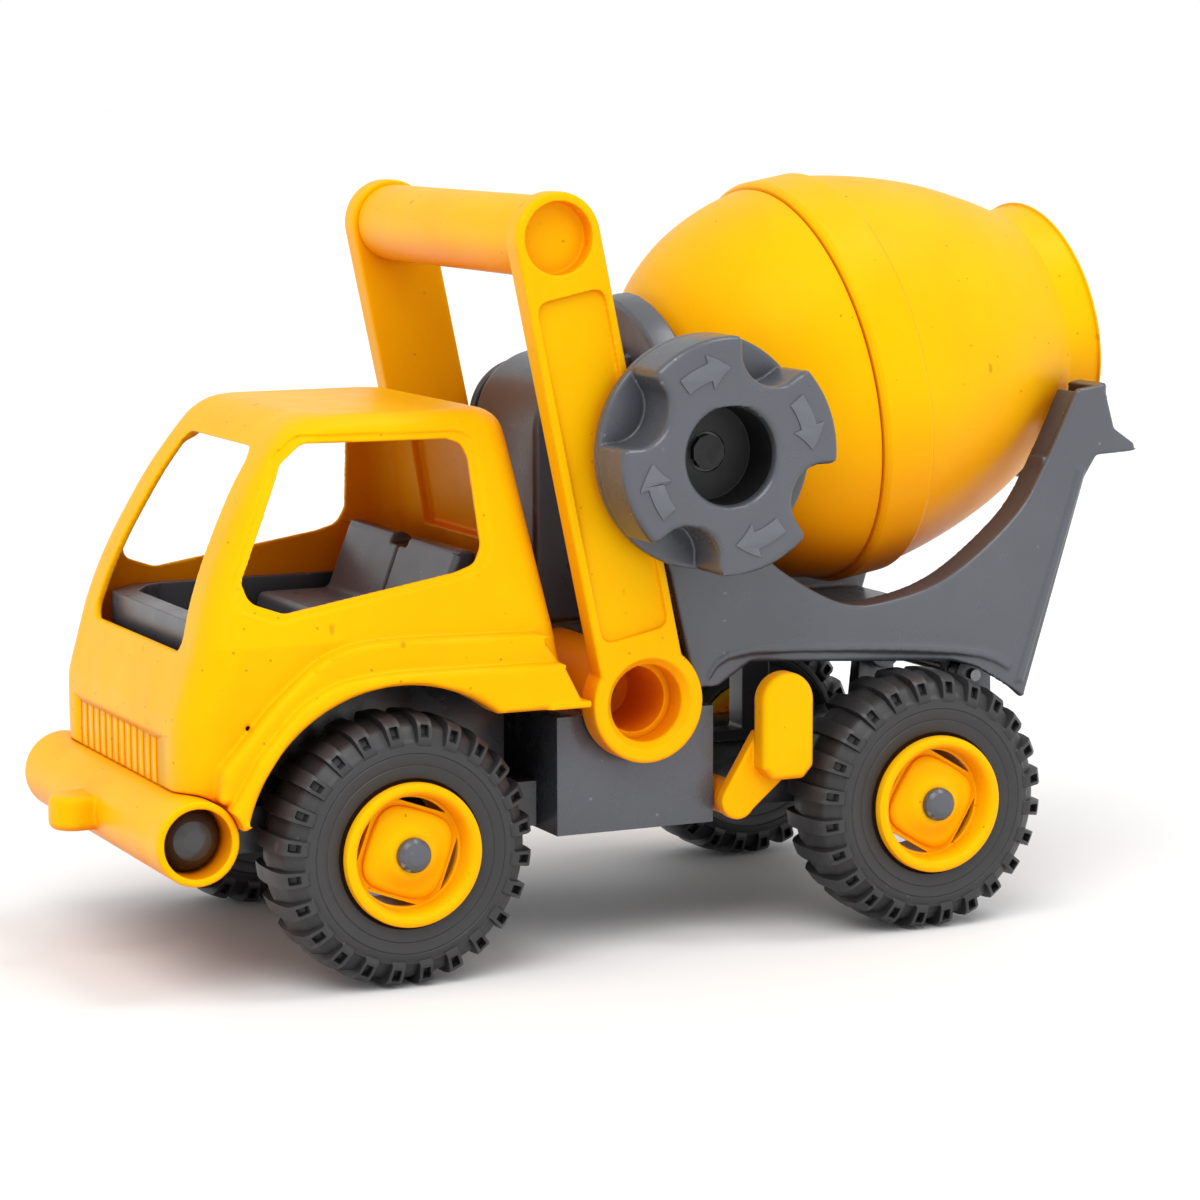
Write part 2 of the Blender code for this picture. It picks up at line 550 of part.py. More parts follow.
def cradle_frame():
    """Side panels, floor, front wall, bearing arm and rear saddle in one moulding."""
    inner = PANEL_OUTER_Y - PANEL
    cradle = block("cradle_frame", (104.5, -inner - 1, FLOOR_Z), (229, inner + 1, FLOOR_Z + 2.5), GRAY)
    sweep = flowing(PANEL_SWEEP, 3)
    above = [(x + 1.0, z - 1.3) for x, z in sweep]
    below = [(x + 2.4, z - 3.7) for x, z in sweep]
    for label, side in SIDES:
        low, high = sorted((side * 24.3, side * 29.7))
        join(cradle, plate("hinge_lug_" + label,
                           [(214.5, FLOOR_Z + 1)] + arc(HINGE_X, HINGE_Z, 6.5, 180, 360, 12)
                           + [(227.5, FLOOR_Z + 1)], low, high))
    foot = [(138, 53.4), (160, 53.4), (160, 92), (150, 92), (150, 57), (138, 57)]
    join(cradle, plate("lift_foot", foot, -5, 5))
    wall = plate("front_wall", [(105.4, 84.5), (97, 118.6), (100, 118.6), (108.4, 84.5)], -inner - 0.8,
                 inner + 0.8)
    low_y, high_y = HOUSING_Y
    cut(wall, block("housing_seat", (90, low_y - GAP, HOUSING_FOOT_Z - GAP), (110, high_y + GAP, 120)))
    join(cradle, wall)
    join(cradle, block("bearing_arm", (-7.5, 4.4, -70), (7.5, 6.1, 2), None, BEARING_FRAME))
    join(cradle, rod("bearing_boss", (0, 0, 4.3), (0, 0, 15), 9, matrix=DRUM_FRAME))
    wing = inner + 0.5
    saddle = [(14, -wing), (34, -wing)] + arc(0, 0, 51, -48.2, 48.2, 12) + [(34, wing), (14, wing)]
    saddle += arc(0, 0, 45.4, 72, -72, 20)
    for label, side in SIDES:
        low, high = sorted((side * inner, side * PANEL_OUTER_Y))
        panel = plate("side_panel_" + label, cradle_outline(), low, high)
        low, high = sorted((side * 48, side * (inner + 1.2)))
        join(panel, plate("panel_flange_" + label, above + below[::-1], low, high))
        join(cradle, panel)
    join(cradle, plate("saddle", saddle, 153, 157.5, plane="XY", matrix=DRUM_FRAME))
    cut(cradle, rod("stub_bore", (0, 0, 0), (0, 0, 20), 4.05, segments=24, matrix=DRUM_FRAME))
    cut(cradle, rod("hinge_lug_bore", (HINGE_X, -31, HINGE_Z), (HINGE_X, 31, HINGE_Z), PIN_RADIUS + PRESS,
                    segments=16))
    for label, side in SIDES:
        cut(cradle, rod("crank_bore_" + label, (CRANK_X, side * 55, CRANK_Z), (CRANK_X, side * 66, CRANK_Z),
                        6.0, segments=16))
    return cradle


# Local X across, local Y along the drum's axis, local Z up and square to it
BEARING_FRAME = DRUM_FRAME @ Matrix(((0, 0, -1, 0), (1, 0, 0, 0), (0, 1, 0, 0), (0, 0, 0, 1)))


def gear_housing():
    """A round-topped cover over the pinion, open towards the crown gear."""
    low_y, high_y = HOUSING_Y
    tomb = [(75.2, HOUSING_FOOT_Z)] + arc(CRANK_X, CRANK_Z, 23.5, 180, 0, 16) + [(122.2, HOUSING_FOOT_Z)]
    inner = [(77.7, 90)] + arc(CRANK_X, CRANK_Z, 21, 180, 0, 16) + [(119.7, 90)]
    cover = plate("gear_housing", tomb, low_y, high_y, GRAY)
    cut(cover, plate("housing_hollow", inner, low_y + 2.5, high_y - 2.5))
    cut(cover, block("housing_back", (-120, -60, 3.6), (160, 60, 60), None, DRUM_FRAME))
    cut(cover, rod("housing_bore", (CRANK_X, -20, CRANK_Z), (CRANK_X, 60, CRANK_Z),
                   running_bore(SHAFT_RADIUS), segments=16))
    return cover


# ---------------------------------------------------------------- drum

def drum_radius(along):
    """Outer radius of the drum at a distance along its axis, without the band."""
    stations = [(20.4, 36.2), (31.7, 49.0), (43, 57.2), (56.1, 62.9), (70, 66.2), (86.2, 66.9), (106.9, 63.2),
                (127.6, 56.6), (145, 48.2), (155.5, 41.9), (158, COLLAR_RADIUS), (MOUTH_END, COLLAR_RADIUS)]
    for (start, low), (end, high) in zip(stations, stations[1:]):
        if along <= end:
            return low + (high - low) * (along - start) / (end - start)
    return COLLAR_RADIUS


def drum_shells():
    """Front and rear shells that meet under the raised band; heights run towards the mouth."""
    front = [20.4, 25, 31.7, 43, 56.1, SEAM - GAP]
    outer = [(drum_radius(s), s) for s in reversed(front)]
    inner = [(drum_radius(s) - DRUM_WALL, max(s, 22.8)) for s in front]
    base = [(0, DRUM_FRONT), (0, DRUM_FRONT + DRUM_WALL + 0.2)]
    front_shell = turned("drum_front_shell", outer + base + inner, YELLOW, DRUM_FRAME)
    rear = [87.2, 106.9, 127.6, 145, 155.5, MOUTH_END]
    outer = [(drum_radius(s), s) for s in reversed(rear)]
    band = [(68.2, 86.4), (68.2, 71.2), (67.0, SEAM)]
    inner = [(drum_radius(s) - DRUM_WALL, s) for s in [SEAM] + rear]
    return front_shell, turned("drum_rear_shell", outer + band + inner, YELLOW, DRUM_FRAME)


def crown_gear():
    """The gray disc on the drum's front end, with face teeth around a sunk middle."""
    disc = turned("crown_gear", [(40.6, DRUM_FRONT - GAP), (41.8, 18.9), (41.8, 11.2), (40.6, 9.6), (19, 9.6),
                                 (19, 16), (4.2, 16), (4.2, DRUM_FRONT - GAP)],
                  GRAY, DRUM_FRAME, steps=32)
    for number in range(CROWN_TEETH):
        angle = 2 * math.pi * number / CROWN_TEETH
        tooth = crown_tooth("crown_tooth_%d" % number)
        tooth.matrix_world = TRUCK @ DRUM_FRAME @ Matrix.Rotation(angle + math.pi / 2, 4, "Z")
        join(disc, tooth)
    return disc


def crown_tooth(name):
    bm = bmesh.new()
    bmesh.ops.create_cube(bm, size=1)
    for vert in bm.verts:
        high = vert.co.z < 0
        radius = CROWN_PITCH + (3.4 if vert.co.x > 0 else -3.4)
        half = (0.5 if high else 1.15) * radius / CROWN_PITCH
        vert.co = Vector((radius, half if vert.co.y > 0 else -half, 6.75 if high else 10.2)) * MM
    return finish(name, bm)


def stub_pin():
    return turned("drum_stub_pin",
                  [(0, DRUM_FRONT - GAP), (4.15, DRUM_FRONT - GAP), (4.15, 16.3), (4.0, 16.3), (4.0, 6.4),
                   (3.4, 5.8), (0, 5.8)],
                  STEEL, DRUM_FRAME, steps=16, closed=False)


# ---------------------------------------------------------------- crank

def crank():
    """The knob with four finger scallops, its shaft and its screw."""
    place = axis_frame(CRANK_X, 0, CRANK_Z, -1)
    knob = turned("crank_knob",
                  [(16.6, KNOB_FACE_Y), (KNOB_RADIUS - 4, KNOB_FACE_Y),
                   (KNOB_RADIUS - 1.6, KNOB_FACE_Y - 0.9), (KNOB_RADIUS - 0.3, KNOB_FACE_Y - 3),
                   (KNOB_RADIUS, KNOB_BACK_Y + 1), (KNOB_RADIUS - 1, KNOB_BACK_Y), (11, KNOB_BACK_Y),
                   (11, PANEL_OUTER_Y + 0.8), (SHAFT_RADIUS + PRESS, PANEL_OUTER_Y + 0.8),
                   (SHAFT_RADIUS + PRESS, KNOB_BACK_Y + 3.4), (15.2, KNOB_BACK_Y + 3.4),
                   (15.2, KNOB_FACE_Y - 1.4)],
                  GRAY, place, steps=32)
    for number in range(4):
        angle = math.radians(65 + 90 * number)
        x = CRANK_X + math.cos(angle) * 35.5
        z = CRANK_Z + math.sin(angle) * 35.5
        cut(knob, rod("scallop_%d" % number, (x, -KNOB_BACK_Y - 4.6, z), (x, -KNOB_FACE_Y - 5, z), 11.3,
                      segments=24))
    shaft = rod("crank_shaft", (CRANK_X, -KNOB_BACK_Y - 3.0, CRANK_Z), (CRANK_X, 49, CRANK_Z), SHAFT_RADIUS,
                STEEL, segments=16)
    screw = rod("knob_screw", (CRANK_X, -KNOB_BACK_Y - 3.4 - GAP, CRANK_Z),
                (CRANK_X, -KNOB_BACK_Y - 6.4, CRANK_Z), 5.5, STEEL, segments=10)
    return knob, shaft, screw


def shaft_bush():
    """The flanged bush that the crank shaft turns in, pressed in the left side panel."""
    return turned("shaft_bush", [(8.6, PANEL_OUTER_Y + 0.5), (8.6, PANEL_OUTER_Y - PANEL + 3.2),
                                 (5.8, PANEL_OUTER_Y - PANEL + 3.2), (5.8, 53), (SHAFT_RADIUS + PRESS, 53),
                                 (SHAFT_RADIUS + PRESS, PANEL_OUTER_Y + 0.5)],
                  GRAY, axis_frame(CRANK_X, 0, CRANK_Z, -1), steps=24)


def pinion_gear():
    """Ten tapered teeth around a hub; one gap faces the crown gear's tooth."""
    outline = []
    start = math.degrees(DRUM_TILT) + 18
    for number in range(PINION_TEETH):
        middle = start + 36 * number
        for radius, offset in ((6.4, -11), (PINION_PITCH, -6.0), (9.2, -2.8), (9.2, 2.8), (PINION_PITCH, 6.0),
                               (6.4, 11)):
            angle = math.radians(middle + offset)
            outline.append((CRANK_X + radius * math.cos(angle), CRANK_Z + radius * math.sin(angle)))
    gear = plate("pinion_gear", outline, CROWN_PITCH - 2.5, CROWN_PITCH + 2.5, GRAY)
    cut(gear, rod("pinion_bore", (CRANK_X, 0, CRANK_Z), (CRANK_X, 50, CRANK_Z), SHAFT_RADIUS + PRESS,
                  segments=16))
    return gear


# ---------------------------------------------------------------- tip lever

def tip_lever():
    """The round-topped tab on its arm, the lever's shaft and the lift arm in the middle."""
    outline = [(122.2, 57), (125.8, 53), (136.8, 53), (140.4, 57)] + arc(131.3, 78.3, 9.1, 0, 180, 14)
    tab = bevel(plate("tip_lever", outline, -74, -65.5, YELLOW), 2, 1)
    outline = arc(LEVER_X, LEVER_Z, 6, 150, 330, 10) + [(137, 55), (137, 68), (124, 68)]
    arm = plate("lever_arm", outline, -66, -61)
    join(tab, arm)
    join(tab, rod("lever_hub", (LEVER_X, -62, LEVER_Z), (LEVER_X, -CHASSIS_HALF_WIDTH - 0.6, LEVER_Z), 5.6,
                  segments=16))
    bore = LEVER_SHAFT_RADIUS + PRESS
    cut(tab, rod("lever_hub_bore", (LEVER_X, -64, LEVER_Z), (LEVER_X, -40, LEVER_Z), bore, segments=16))
    shaft = rod("lever_shaft", (LEVER_X, -63.4, LEVER_Z), (LEVER_X, 47, LEVER_Z), LEVER_SHAFT_RADIUS, STEEL,
                segments=16)
    tip_x = LEVER_X + LIFT_LENGTH * math.cos(LIFT_ANGLE)
    tip_z = LEVER_Z + LIFT_LENGTH * math.sin(LIFT_ANGLE)
    lift = plate("lift_arm", arc(LEVER_X, LEVER_Z, 5.4, 95, 275, 12) + arc(tip_x, tip_z, 3.5, -85, 95, 10),
                 -4, 4, GRAY)
    cut(lift, rod("lift_bore", (LEVER_X, -10, LEVER_Z), (LEVER_X, 10, LEVER_Z), bore, segments=16))
    return tab, shaft, lift


# ---------------------------------------------------------------- assembly

chassis_frame()
cab_screws()
axles()
hinge_pin()
cab_shell()
cab_interior()
bumper()
handle()
for axle_name, axle_x in AXLES:
    for side_name, side_sign in SIDES:
        pieces = wheel(axle_name, axle_x, side_name, side_sign)
        pivot("wheel_%s_%s_axis" % (axle_name, side_name), axle_x, side_sign * 64, TYRE_RADIUS, *pieces)
pivot("cradle_axis", HINGE_X, 0, HINGE_Z, cradle_frame(), gear_housing(), shaft_bush())
pivot("drum_axis", CRANK_X, 0, CRANK_Z, *drum_shells(), crown_gear(), stub_pin())
pivot("crank_axis", CRANK_X, 0, CRANK_Z, *crank(), pinion_gear())
pivot("lever_axis", LEVER_X, 0, LEVER_Z, *tip_lever())
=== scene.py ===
"""The looks of the toy cement mixer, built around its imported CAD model.

Sizes are millimetres in a truck frame: X runs from the front axle towards the rear, Y from the
middle plane towards the truck's right side, and Z from the ground. The truck drives towards -X.
"""
import json
import math

import bmesh
import bpy
from mathutils import Matrix, Vector

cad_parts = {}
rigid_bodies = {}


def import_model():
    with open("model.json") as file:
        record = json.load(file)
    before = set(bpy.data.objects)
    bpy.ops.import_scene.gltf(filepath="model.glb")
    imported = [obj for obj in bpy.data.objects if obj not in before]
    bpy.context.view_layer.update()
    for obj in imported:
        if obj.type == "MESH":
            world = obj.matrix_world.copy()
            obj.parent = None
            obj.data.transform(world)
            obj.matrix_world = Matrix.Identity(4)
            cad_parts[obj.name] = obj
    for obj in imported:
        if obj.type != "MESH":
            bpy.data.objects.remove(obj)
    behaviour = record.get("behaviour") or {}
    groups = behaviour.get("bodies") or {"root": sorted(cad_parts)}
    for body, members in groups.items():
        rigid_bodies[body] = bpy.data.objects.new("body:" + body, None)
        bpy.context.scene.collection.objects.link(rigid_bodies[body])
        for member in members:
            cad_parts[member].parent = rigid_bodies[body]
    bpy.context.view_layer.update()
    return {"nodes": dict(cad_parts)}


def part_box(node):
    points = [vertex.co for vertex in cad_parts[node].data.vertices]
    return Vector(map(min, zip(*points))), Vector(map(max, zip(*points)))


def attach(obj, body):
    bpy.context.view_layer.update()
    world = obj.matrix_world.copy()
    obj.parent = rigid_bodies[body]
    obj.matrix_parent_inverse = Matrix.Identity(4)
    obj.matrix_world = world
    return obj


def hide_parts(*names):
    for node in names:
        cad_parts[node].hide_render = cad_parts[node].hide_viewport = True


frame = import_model()
MM = 0.001


# ---------------------------------------------------------------- places, read from the frame

def centre(node):
    low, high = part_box(node)
    return (low + high) / 2


SHIFT = Vector((centre("front_axle").x, centre("front_axle").y, 0))
TRUCK = Matrix.Translation(SHIFT)


def place(node):
    """A node's centre in the truck frame, in millimetres."""
    return (centre(node) - SHIFT) / MM


def reach(node):
    """A node's lowest and highest corners in the truck frame, in millimetres."""
    low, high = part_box(node)
    return (low - SHIFT) / MM, (high - SHIFT) / MM


WHEELBASE = place("rear_axle").x
TYRE_RADIUS = place("front_axle").z
CRANK_X, CRANK_Z = place("crank_shaft").x, place("crank_shaft").z
GRIP_X, GRIP_Z = place("handle_grip_tube").x, place("handle_grip_tube").z
BOSS_X, BOSS_Z = place("handle_cross_tube").x, place("handle_cross_tube").z
HINGE_X, HINGE_Z = place("hinge_pin").x, place("hinge_pin").z
LEVER_X, LEVER_Z = place("lever_shaft").x, place("lever_shaft").z
BUMPER_X, BUMPER_Z = place("headlamp_left").x, place("headlamp_left").z
BUMPER_END_Y = reach("front_bumper")[1].y
BUMPER_RADIUS = 13.0
ARM_INNER_Y = 63.0
ARM_OUTER_Y = reach("handle_arm_right")[1].y
PANEL_OUTER_Y = reach("cradle_frame")[1].y
KNOB_FACE_Y = -reach("crank_knob")[0].y
KNOB_BACK_Y = 75.2
KNOB_RADIUS = 36.7
ROOF_Z = reach("cab_shell")[1].z
CAB_FRONT_X = reach("cab_shell")[0].x
CAB_WALL = 2.5
BELT_Z = 105.8
SKIRT_Z = 81.5
ARCH_RADIUS = 50.5
BEYOND_Y = 90
DRUM_TILT = math.radians(10.1)
DRUM_TURN = Matrix.Rotation(math.pi / 2 - DRUM_TILT, 4, "Y")
DRUM_FRAME = Matrix.Translation(Vector((CRANK_X, 0, CRANK_Z)) * MM) @ DRUM_TURN
SIDES = (("left", -1), ("right", 1))
AXLES = (("front", 0.0), ("rear", WHEELBASE))


# ---------------------------------------------------------------- materials

class Shader:
    """A small builder for a node material around one Principled BSDF."""

    def __init__(self, name):
        self.material = bpy.data.materials.new(name)
        self.material.use_nodes = True
        self.tree = self.material.node_tree
        self.surface = self.tree.nodes["Principled BSDF"]
        self.where = self.add("ShaderNodeTexCoord").outputs["Object"]

    def add(self, kind, **settings):
        node = self.tree.nodes.new(kind)
        for name, value in settings.items():
            setattr(node, name, value)
        return node

    def join(self, source, target):
        if isinstance(source, (int, float)):
            target.default_value = source
        elif isinstance(source, tuple):
            target.default_value = (*source, 1) if len(source) == 3 else source
        else:
            self.tree.links.new(source, target)

    def noise(self, scale, detail=3.0, roughness=0.55, offset=0.0, stretch=(1, 1, 1)):
        shift = self.add("ShaderNodeMapping")
        shift.inputs["Location"].default_value = (offset, offset * 0.7, offset * 1.3)
        shift.inputs["Scale"].default_value = stretch
        self.join(self.where, shift.inputs["Vector"])
        node = self.add("ShaderNodeTexNoise")
        node.inputs["Scale"].default_value = scale
        node.inputs["Detail"].default_value = detail
        node.inputs["Roughness"].default_value = roughness
        self.join(shift.outputs["Vector"], node.inputs["Vector"])
        return node.outputs["Fac"]

    def flecks(self, scale, size, share, stretch=(1, 1, 1), offset=0.0):
        """White where a small speck lies: one cell in a few holds one, of varying size."""
        shift = self.add("ShaderNodeMapping")
        shift.inputs["Location"].default_value = (offset, offset, offset)
        shift.inputs["Scale"].default_value = stretch
        self.join(self.where, shift.inputs["Vector"])
        wobble = self.add("ShaderNodeTexNoise")
        wobble.inputs["Scale"].default_value = scale * 3
        self.join(shift.outputs["Vector"], wobble.inputs["Vector"])
        mixed = self.add("ShaderNodeVectorMath", operation="MULTIPLY_ADD")
        self.join(wobble.outputs["Color"], mixed.inputs[0])
        mixed.inputs[1].default_value = (0.25 / scale,) * 3
        self.join(shift.outputs["Vector"], mixed.inputs[2])
        cells = self.add("ShaderNodeTexVoronoi")
        cells.inputs["Scale"].default_value = scale
        self.join(mixed.outputs["Vector"], cells.inputs["Vector"])
        near = self.ramp(cells.outputs["Distance"], size, size * 0.45)
        split = self.add("ShaderNodeSeparateColor")
        self.join(cells.outputs["Color"], split.inputs["Color"])
        chosen = self.ramp(split.outputs["Red"], share, share * 0.6)
        return self.maths("MULTIPLY", near, chosen)

    def ramp(self, value, low, high):
        """0 at low to 1 at high, smoothly; low may be the larger."""
        node = self.add("ShaderNodeMapRange", interpolation_type="SMOOTHSTEP")
        self.join(value, node.inputs["Value"])
        if low > high:
            node.inputs["From Min"].default_value = high
            node.inputs["From Max"].default_value = low
            node.inputs["To Min"].default_value = 1
            node.inputs["To Max"].default_value = 0
        else:
            node.inputs["From Min"].default_value = low
            node.inputs["From Max"].default_value = high
        return node.outputs["Result"]

    def maths(self, operation, first, second):
        node = self.add("ShaderNodeMath", operation=operation)
        self.join(first, node.inputs[0])
        self.join(second, node.inputs[1])
        return node.outputs["Value"]

    def mix(self, factor, first, second):
        node = self.add("ShaderNodeMix", data_type="RGBA")
        self.join(factor, node.inputs["Factor"])
        self.join(first, node.inputs[6])
        self.join(second, node.inputs[7])
        return node.outputs[2]

    def bump(self, height, distance, strength=1.0, normal=None):
        node = self.add("ShaderNodeBump")
        node.inputs["Distance"].default_value = distance
        node.inputs["Strength"].default_value = strength
        self.join(height, node.inputs["Height"])
        if normal:
            self.join(normal, node.inputs["Normal"])
        return node.outputs["Normal"]

    def closeness(self, distance, low, high):
        """1 where the surface lies deep among others, 0 where it is open."""
        node = self.add("ShaderNodeAmbientOcclusion", samples=6)
        node.inputs["Distance"].default_value = distance
        return self.ramp(node.outputs["AO"], high, low)

    def downwards(self, low, high):
        """1 where the surface faces the ground."""
        split = self.add("ShaderNodeSeparateXYZ")
        self.join(self.add("ShaderNodeNewGeometry").outputs["Normal"], split.inputs["Vector"])
        return self.ramp(split.outputs["Z"], high, low)

    def set(self, **inputs):
        for name, value in inputs.items():
            self.join(value, self.surface.inputs[name.replace("_", " ").title().replace("Ior", "IOR")])


def moulded(name, colour, deep, fleck, highlight_colour, shade, roughness, fleck_share, grain, near=0.06, edge_highlight=0.45):
    """Injection-moulded plastic: cloudy colour, flecks in the melt and fine grain, with painted shade on
    undersides and in hollows, and painted highlights on sharp edges.
    """
    s = Shader(name)
    clouds = s.ramp(s.noise(22, 4), 0.35, 0.7)
    streaks = s.ramp(s.noise(60, 3, stretch=(1, 1, 0.25), offset=3.1), 0.45, 0.75)
    body = s.mix(s.maths("MULTIPLY", clouds, 0.55), colour, deep)
    body = s.mix(s.maths("MULTIPLY", streaks, 0.25), body, deep)
    small = s.flecks(260, 0.16, fleck_share, offset=1.7)
    large = s.flecks(95, 0.13, fleck_share * 0.6, stretch=(1, 1, 0.6), offset=5.3)
    body = s.mix(s.maths("MULTIPLY", small, 0.5), body, fleck)
    body = s.mix(s.maths("MULTIPLY", large, 0.4), body, fleck)
    # Painted shade: surfaces facing the ground are mixed towards the shade colour.
    body = s.mix(s.maths("MULTIPLY", s.downwards(-0.75, 0.1), 0.6), body, shade)
    # Painted shade: surfaces close to other surfaces, in hollows and between parts, are mixed towards the
    # shade colour.
    body = s.mix(s.closeness(near, 0.12, 0.62), body, shade)
    # Painted highlight: sharp convex edges are mixed towards a lighter colour and made a little glossier.
    edges = s.add("ShaderNodeNewGeometry").outputs["Pointiness"]
    highlit_edges = s.maths("MULTIPLY", s.ramp(edges, 0.53, 0.62), s.ramp(s.noise(140, 4, offset=9.0), 0.35, 0.65))
    body = s.mix(s.maths("MULTIPLY", highlit_edges, edge_highlight), body, highlight_colour)
    rough = s.maths("ADD", s.maths("MULTIPLY", s.noise(90, 5, offset=2.2), 0.22), roughness - 0.11)
    rough = s.maths("SUBTRACT", rough, s.maths("MULTIPLY", highlit_edges, 0.1))
    waves = s.bump(s.noise(35, 2, offset=4.4), 0.0006, 0.35)
    fine = s.bump(s.noise(1400, 3, 0.6), 0.00004 * grain, 0.6, waves)
    s.set(base_color=body, roughness=rough, normal=fine)
    return s.material


def yellow(name, near):
    """The orange-yellow of the toy; near sets how far off other surfaces the painted shade of hollows and gaps
    between parts reaches.
    """
    # Its fourth colour is the painted edge highlight, its fifth the painted shade, a deep orange.
    material = moulded(name, (0.94, 0.49, 0.001), (0.91, 0.42, 0.001), (0.2, 0.1, 0.01), (1.0, 0.62, 0.05),
                       (0.85, 0.2, 0.001), 0.38, 0.22, 1.0, near)
    surface = material.node_tree.nodes["Principled BSDF"]
    surface.inputs["Specular Tint"].default_value = (1.0, 0.7, 0.12, 1)
    surface.inputs["Specular IOR Level"].default_value = 0.2
    return material


# The body's painted shade reaches 90 mm off other surfaces; the rims' only 8 mm, so their dishes stay bright.
YELLOW = yellow("yellow_moulded", 0.09)
YELLOW_RIM = yellow("yellow_rim", 0.008)
def gray(name, edge_highlight):
    """The dark gray of the toy; the second argument sets how strongly its sharp edges are painted with a
    lighter highlight.
    """
    # Its fourth colour is the painted edge highlight, its fifth the painted shade, near black.
    material = moulded(name, (0.082, 0.089, 0.106), (0.068, 0.074, 0.089), (0.3, 0.32, 0.34),
                       (0.34, 0.36, 0.39), (0.013, 0.014, 0.016), 0.3, 0.12, 1.3, edge_highlight=edge_highlight)
    material.node_tree.nodes["Principled BSDF"].inputs["Specular IOR Level"].default_value = 0.65
    return material


GRAY = gray("gray_moulded", 0.45)
# The same gray without painted edge highlights, for the chassis.
GRAY_PLAIN = gray("gray_plain", 0.0)
# In each moulded material below, the fourth colour is the painted edge highlight and the fifth the painted
# shade.
TYRE = moulded("tyre_moulded", (0.031, 0.0305, 0.033), (0.022, 0.022, 0.024), (0.1, 0.1, 0.105),
               (0.11, 0.11, 0.115), (0.008, 0.008, 0.009), 0.45, 0.1, 3.0)


def steel():
    s = Shader("drawn_steel")
    lines = s.noise(900, 2, stretch=(1, 0.04, 1))
    s.set(base_color=s.mix(lines, (0.12, 0.12, 0.13), (0.26, 0.26, 0.27)), metallic=1.0,
          roughness=s.maths("ADD", s.maths("MULTIPLY", lines, 0.2), 0.2), normal=s.bump(lines, 0.00003, 0.5))
    return s.material


STEEL = steel()
GRAY_RAISED = moulded("gray_raised", (0.125, 0.134, 0.155), (0.1, 0.108, 0.125), (0.3, 0.32, 0.34),
                      (0.3, 0.32, 0.35), (0.05, 0.053, 0.06), 0.45, 0.08, 2.5)
# Painted shade: a near-black gray for what lies far inside the knob's bore, its lining and the screw at its
# bottom.
PAINTED_SHADE_GRAY = moulded("gray_painted_shade", (0.006, 0.0065, 0.0075), (0.004, 0.0045, 0.005), (0.05, 0.05, 0.05),
               (0.03, 0.03, 0.03), (0.002, 0.002, 0.002), 0.5, 0.05, 2.5)
LAMP = moulded("gray_lamp", (0.045, 0.05, 0.05), (0.03, 0.034, 0.034), (0.25, 0.25, 0.25),
               (0.2, 0.2, 0.2), (0.008, 0.008, 0.008), 0.2, 0.1, 0.6)


# ---------------------------------------------------------------- shape helpers

CUTTERS = bpy.data.collections.new("cutters")
bpy.context.scene.collection.children.link(CUTTERS)


def link(name, mesh, matrix=None):
    piece = bpy.data.objects.new(name, mesh)
    CUTTERS.objects.link(piece)
    piece.matrix_world = TRUCK @ (matrix or Matrix())
    return piece


def finish(name, bm, matrix=None):
    bmesh.ops.recalc_face_normals(bm, faces=bm.faces)
    mesh = bpy.data.meshes.new(name)
    bm.to_mesh(mesh)
    bm.free()
    return link(name, mesh, matrix)


def settle(piece):
    """Applies the modifiers, and removes the shapes that cut or joined it."""
    helpers = [m.object for m in piece.modifiers if m.type == "BOOLEAN"]
    bpy.context.view_layer.update()
    mesh = bpy.data.meshes.new_from_object(piece.evaluated_get(bpy.context.evaluated_depsgraph_get()))
    piece.modifiers.clear()
    piece.data = mesh
    for helper in helpers:
        bpy.data.objects.remove(helper)
    return piece


def bevel(piece, width, segments=3, angle=30):
    modifier = piece.modifiers.new("edges", "BEVEL")
    modifier.width = width * MM
    modifier.segments = segments
    modifier.limit_method = "ANGLE"
    modifier.angle_limit = math.radians(angle)
    modifier.use_clamp_overlap = False
    return settle(piece)


def boolean(piece, operation, *others):
    for other in others:
        modifier = piece.modifiers.new(other.name, "BOOLEAN")
        modifier.operation = operation
        modifier.solver = "MANIFOLD"
        modifier.object = other
    return piece


def cut(piece, *others):
    return boolean(piece, "DIFFERENCE", *others)


def join(piece, *others):
    return boolean(piece, "UNION", *others)


def merge(piece, *others):
    """One mesh of several closed shapes that run into each other, for moulding into one."""
    bpy.context.view_layer.update()
    bm = bmesh.new()
    bm.from_mesh(settle(piece).data)
    for other in others:
        mesh = settle(other).data
        mesh.transform(piece.matrix_world.inverted() @ other.matrix_world)
        bm.from_mesh(mesh)
        bpy.data.objects.remove(other)
    bm.to_mesh(piece.data)
    bm.free()
    return piece


def mould(piece, voxel, smooth=4, keep=1.0):
    """Melts the shapes of a piece into one skin with soft edges, as a mould leaves them."""
    settle(piece)
    melt = piece.modifiers.new("melt", "REMESH")
    melt.mode = "VOXEL"
    melt.voxel_size = voxel * 1 * MM
    soften = piece.modifiers.new("soften", "SMOOTH")
    soften.factor = 0.5
    soften.iterations = smooth
    if keep < 1:
        thin = piece.modifiers.new("thin", "DECIMATE")
        thin.ratio = keep
    settle(piece)
    piece.data.shade_smooth()
    return piece


def dress(piece, name, material, body, slot, *nodes, sharp=None):
    """Names a finished piece, gives it its material and hangs it on its body."""
    settle(piece)
    if sharp:
        piece.data.shade_smooth()
        piece.data.set_sharp_from_angle(angle=math.radians(sharp))
    piece.name = name
    piece.data.name = name
    piece.data.materials.clear()
    piece.data.materials.append(material)
    for collection in list(piece.users_collection):
        collection.objects.unlink(piece)
    bpy.context.scene.collection.objects.link(piece)
    piece.data.transform(piece.matrix_world)
    piece.matrix_world = Matrix()
    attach(piece, body)
    if nodes:
        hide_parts(*nodes)
    return piece


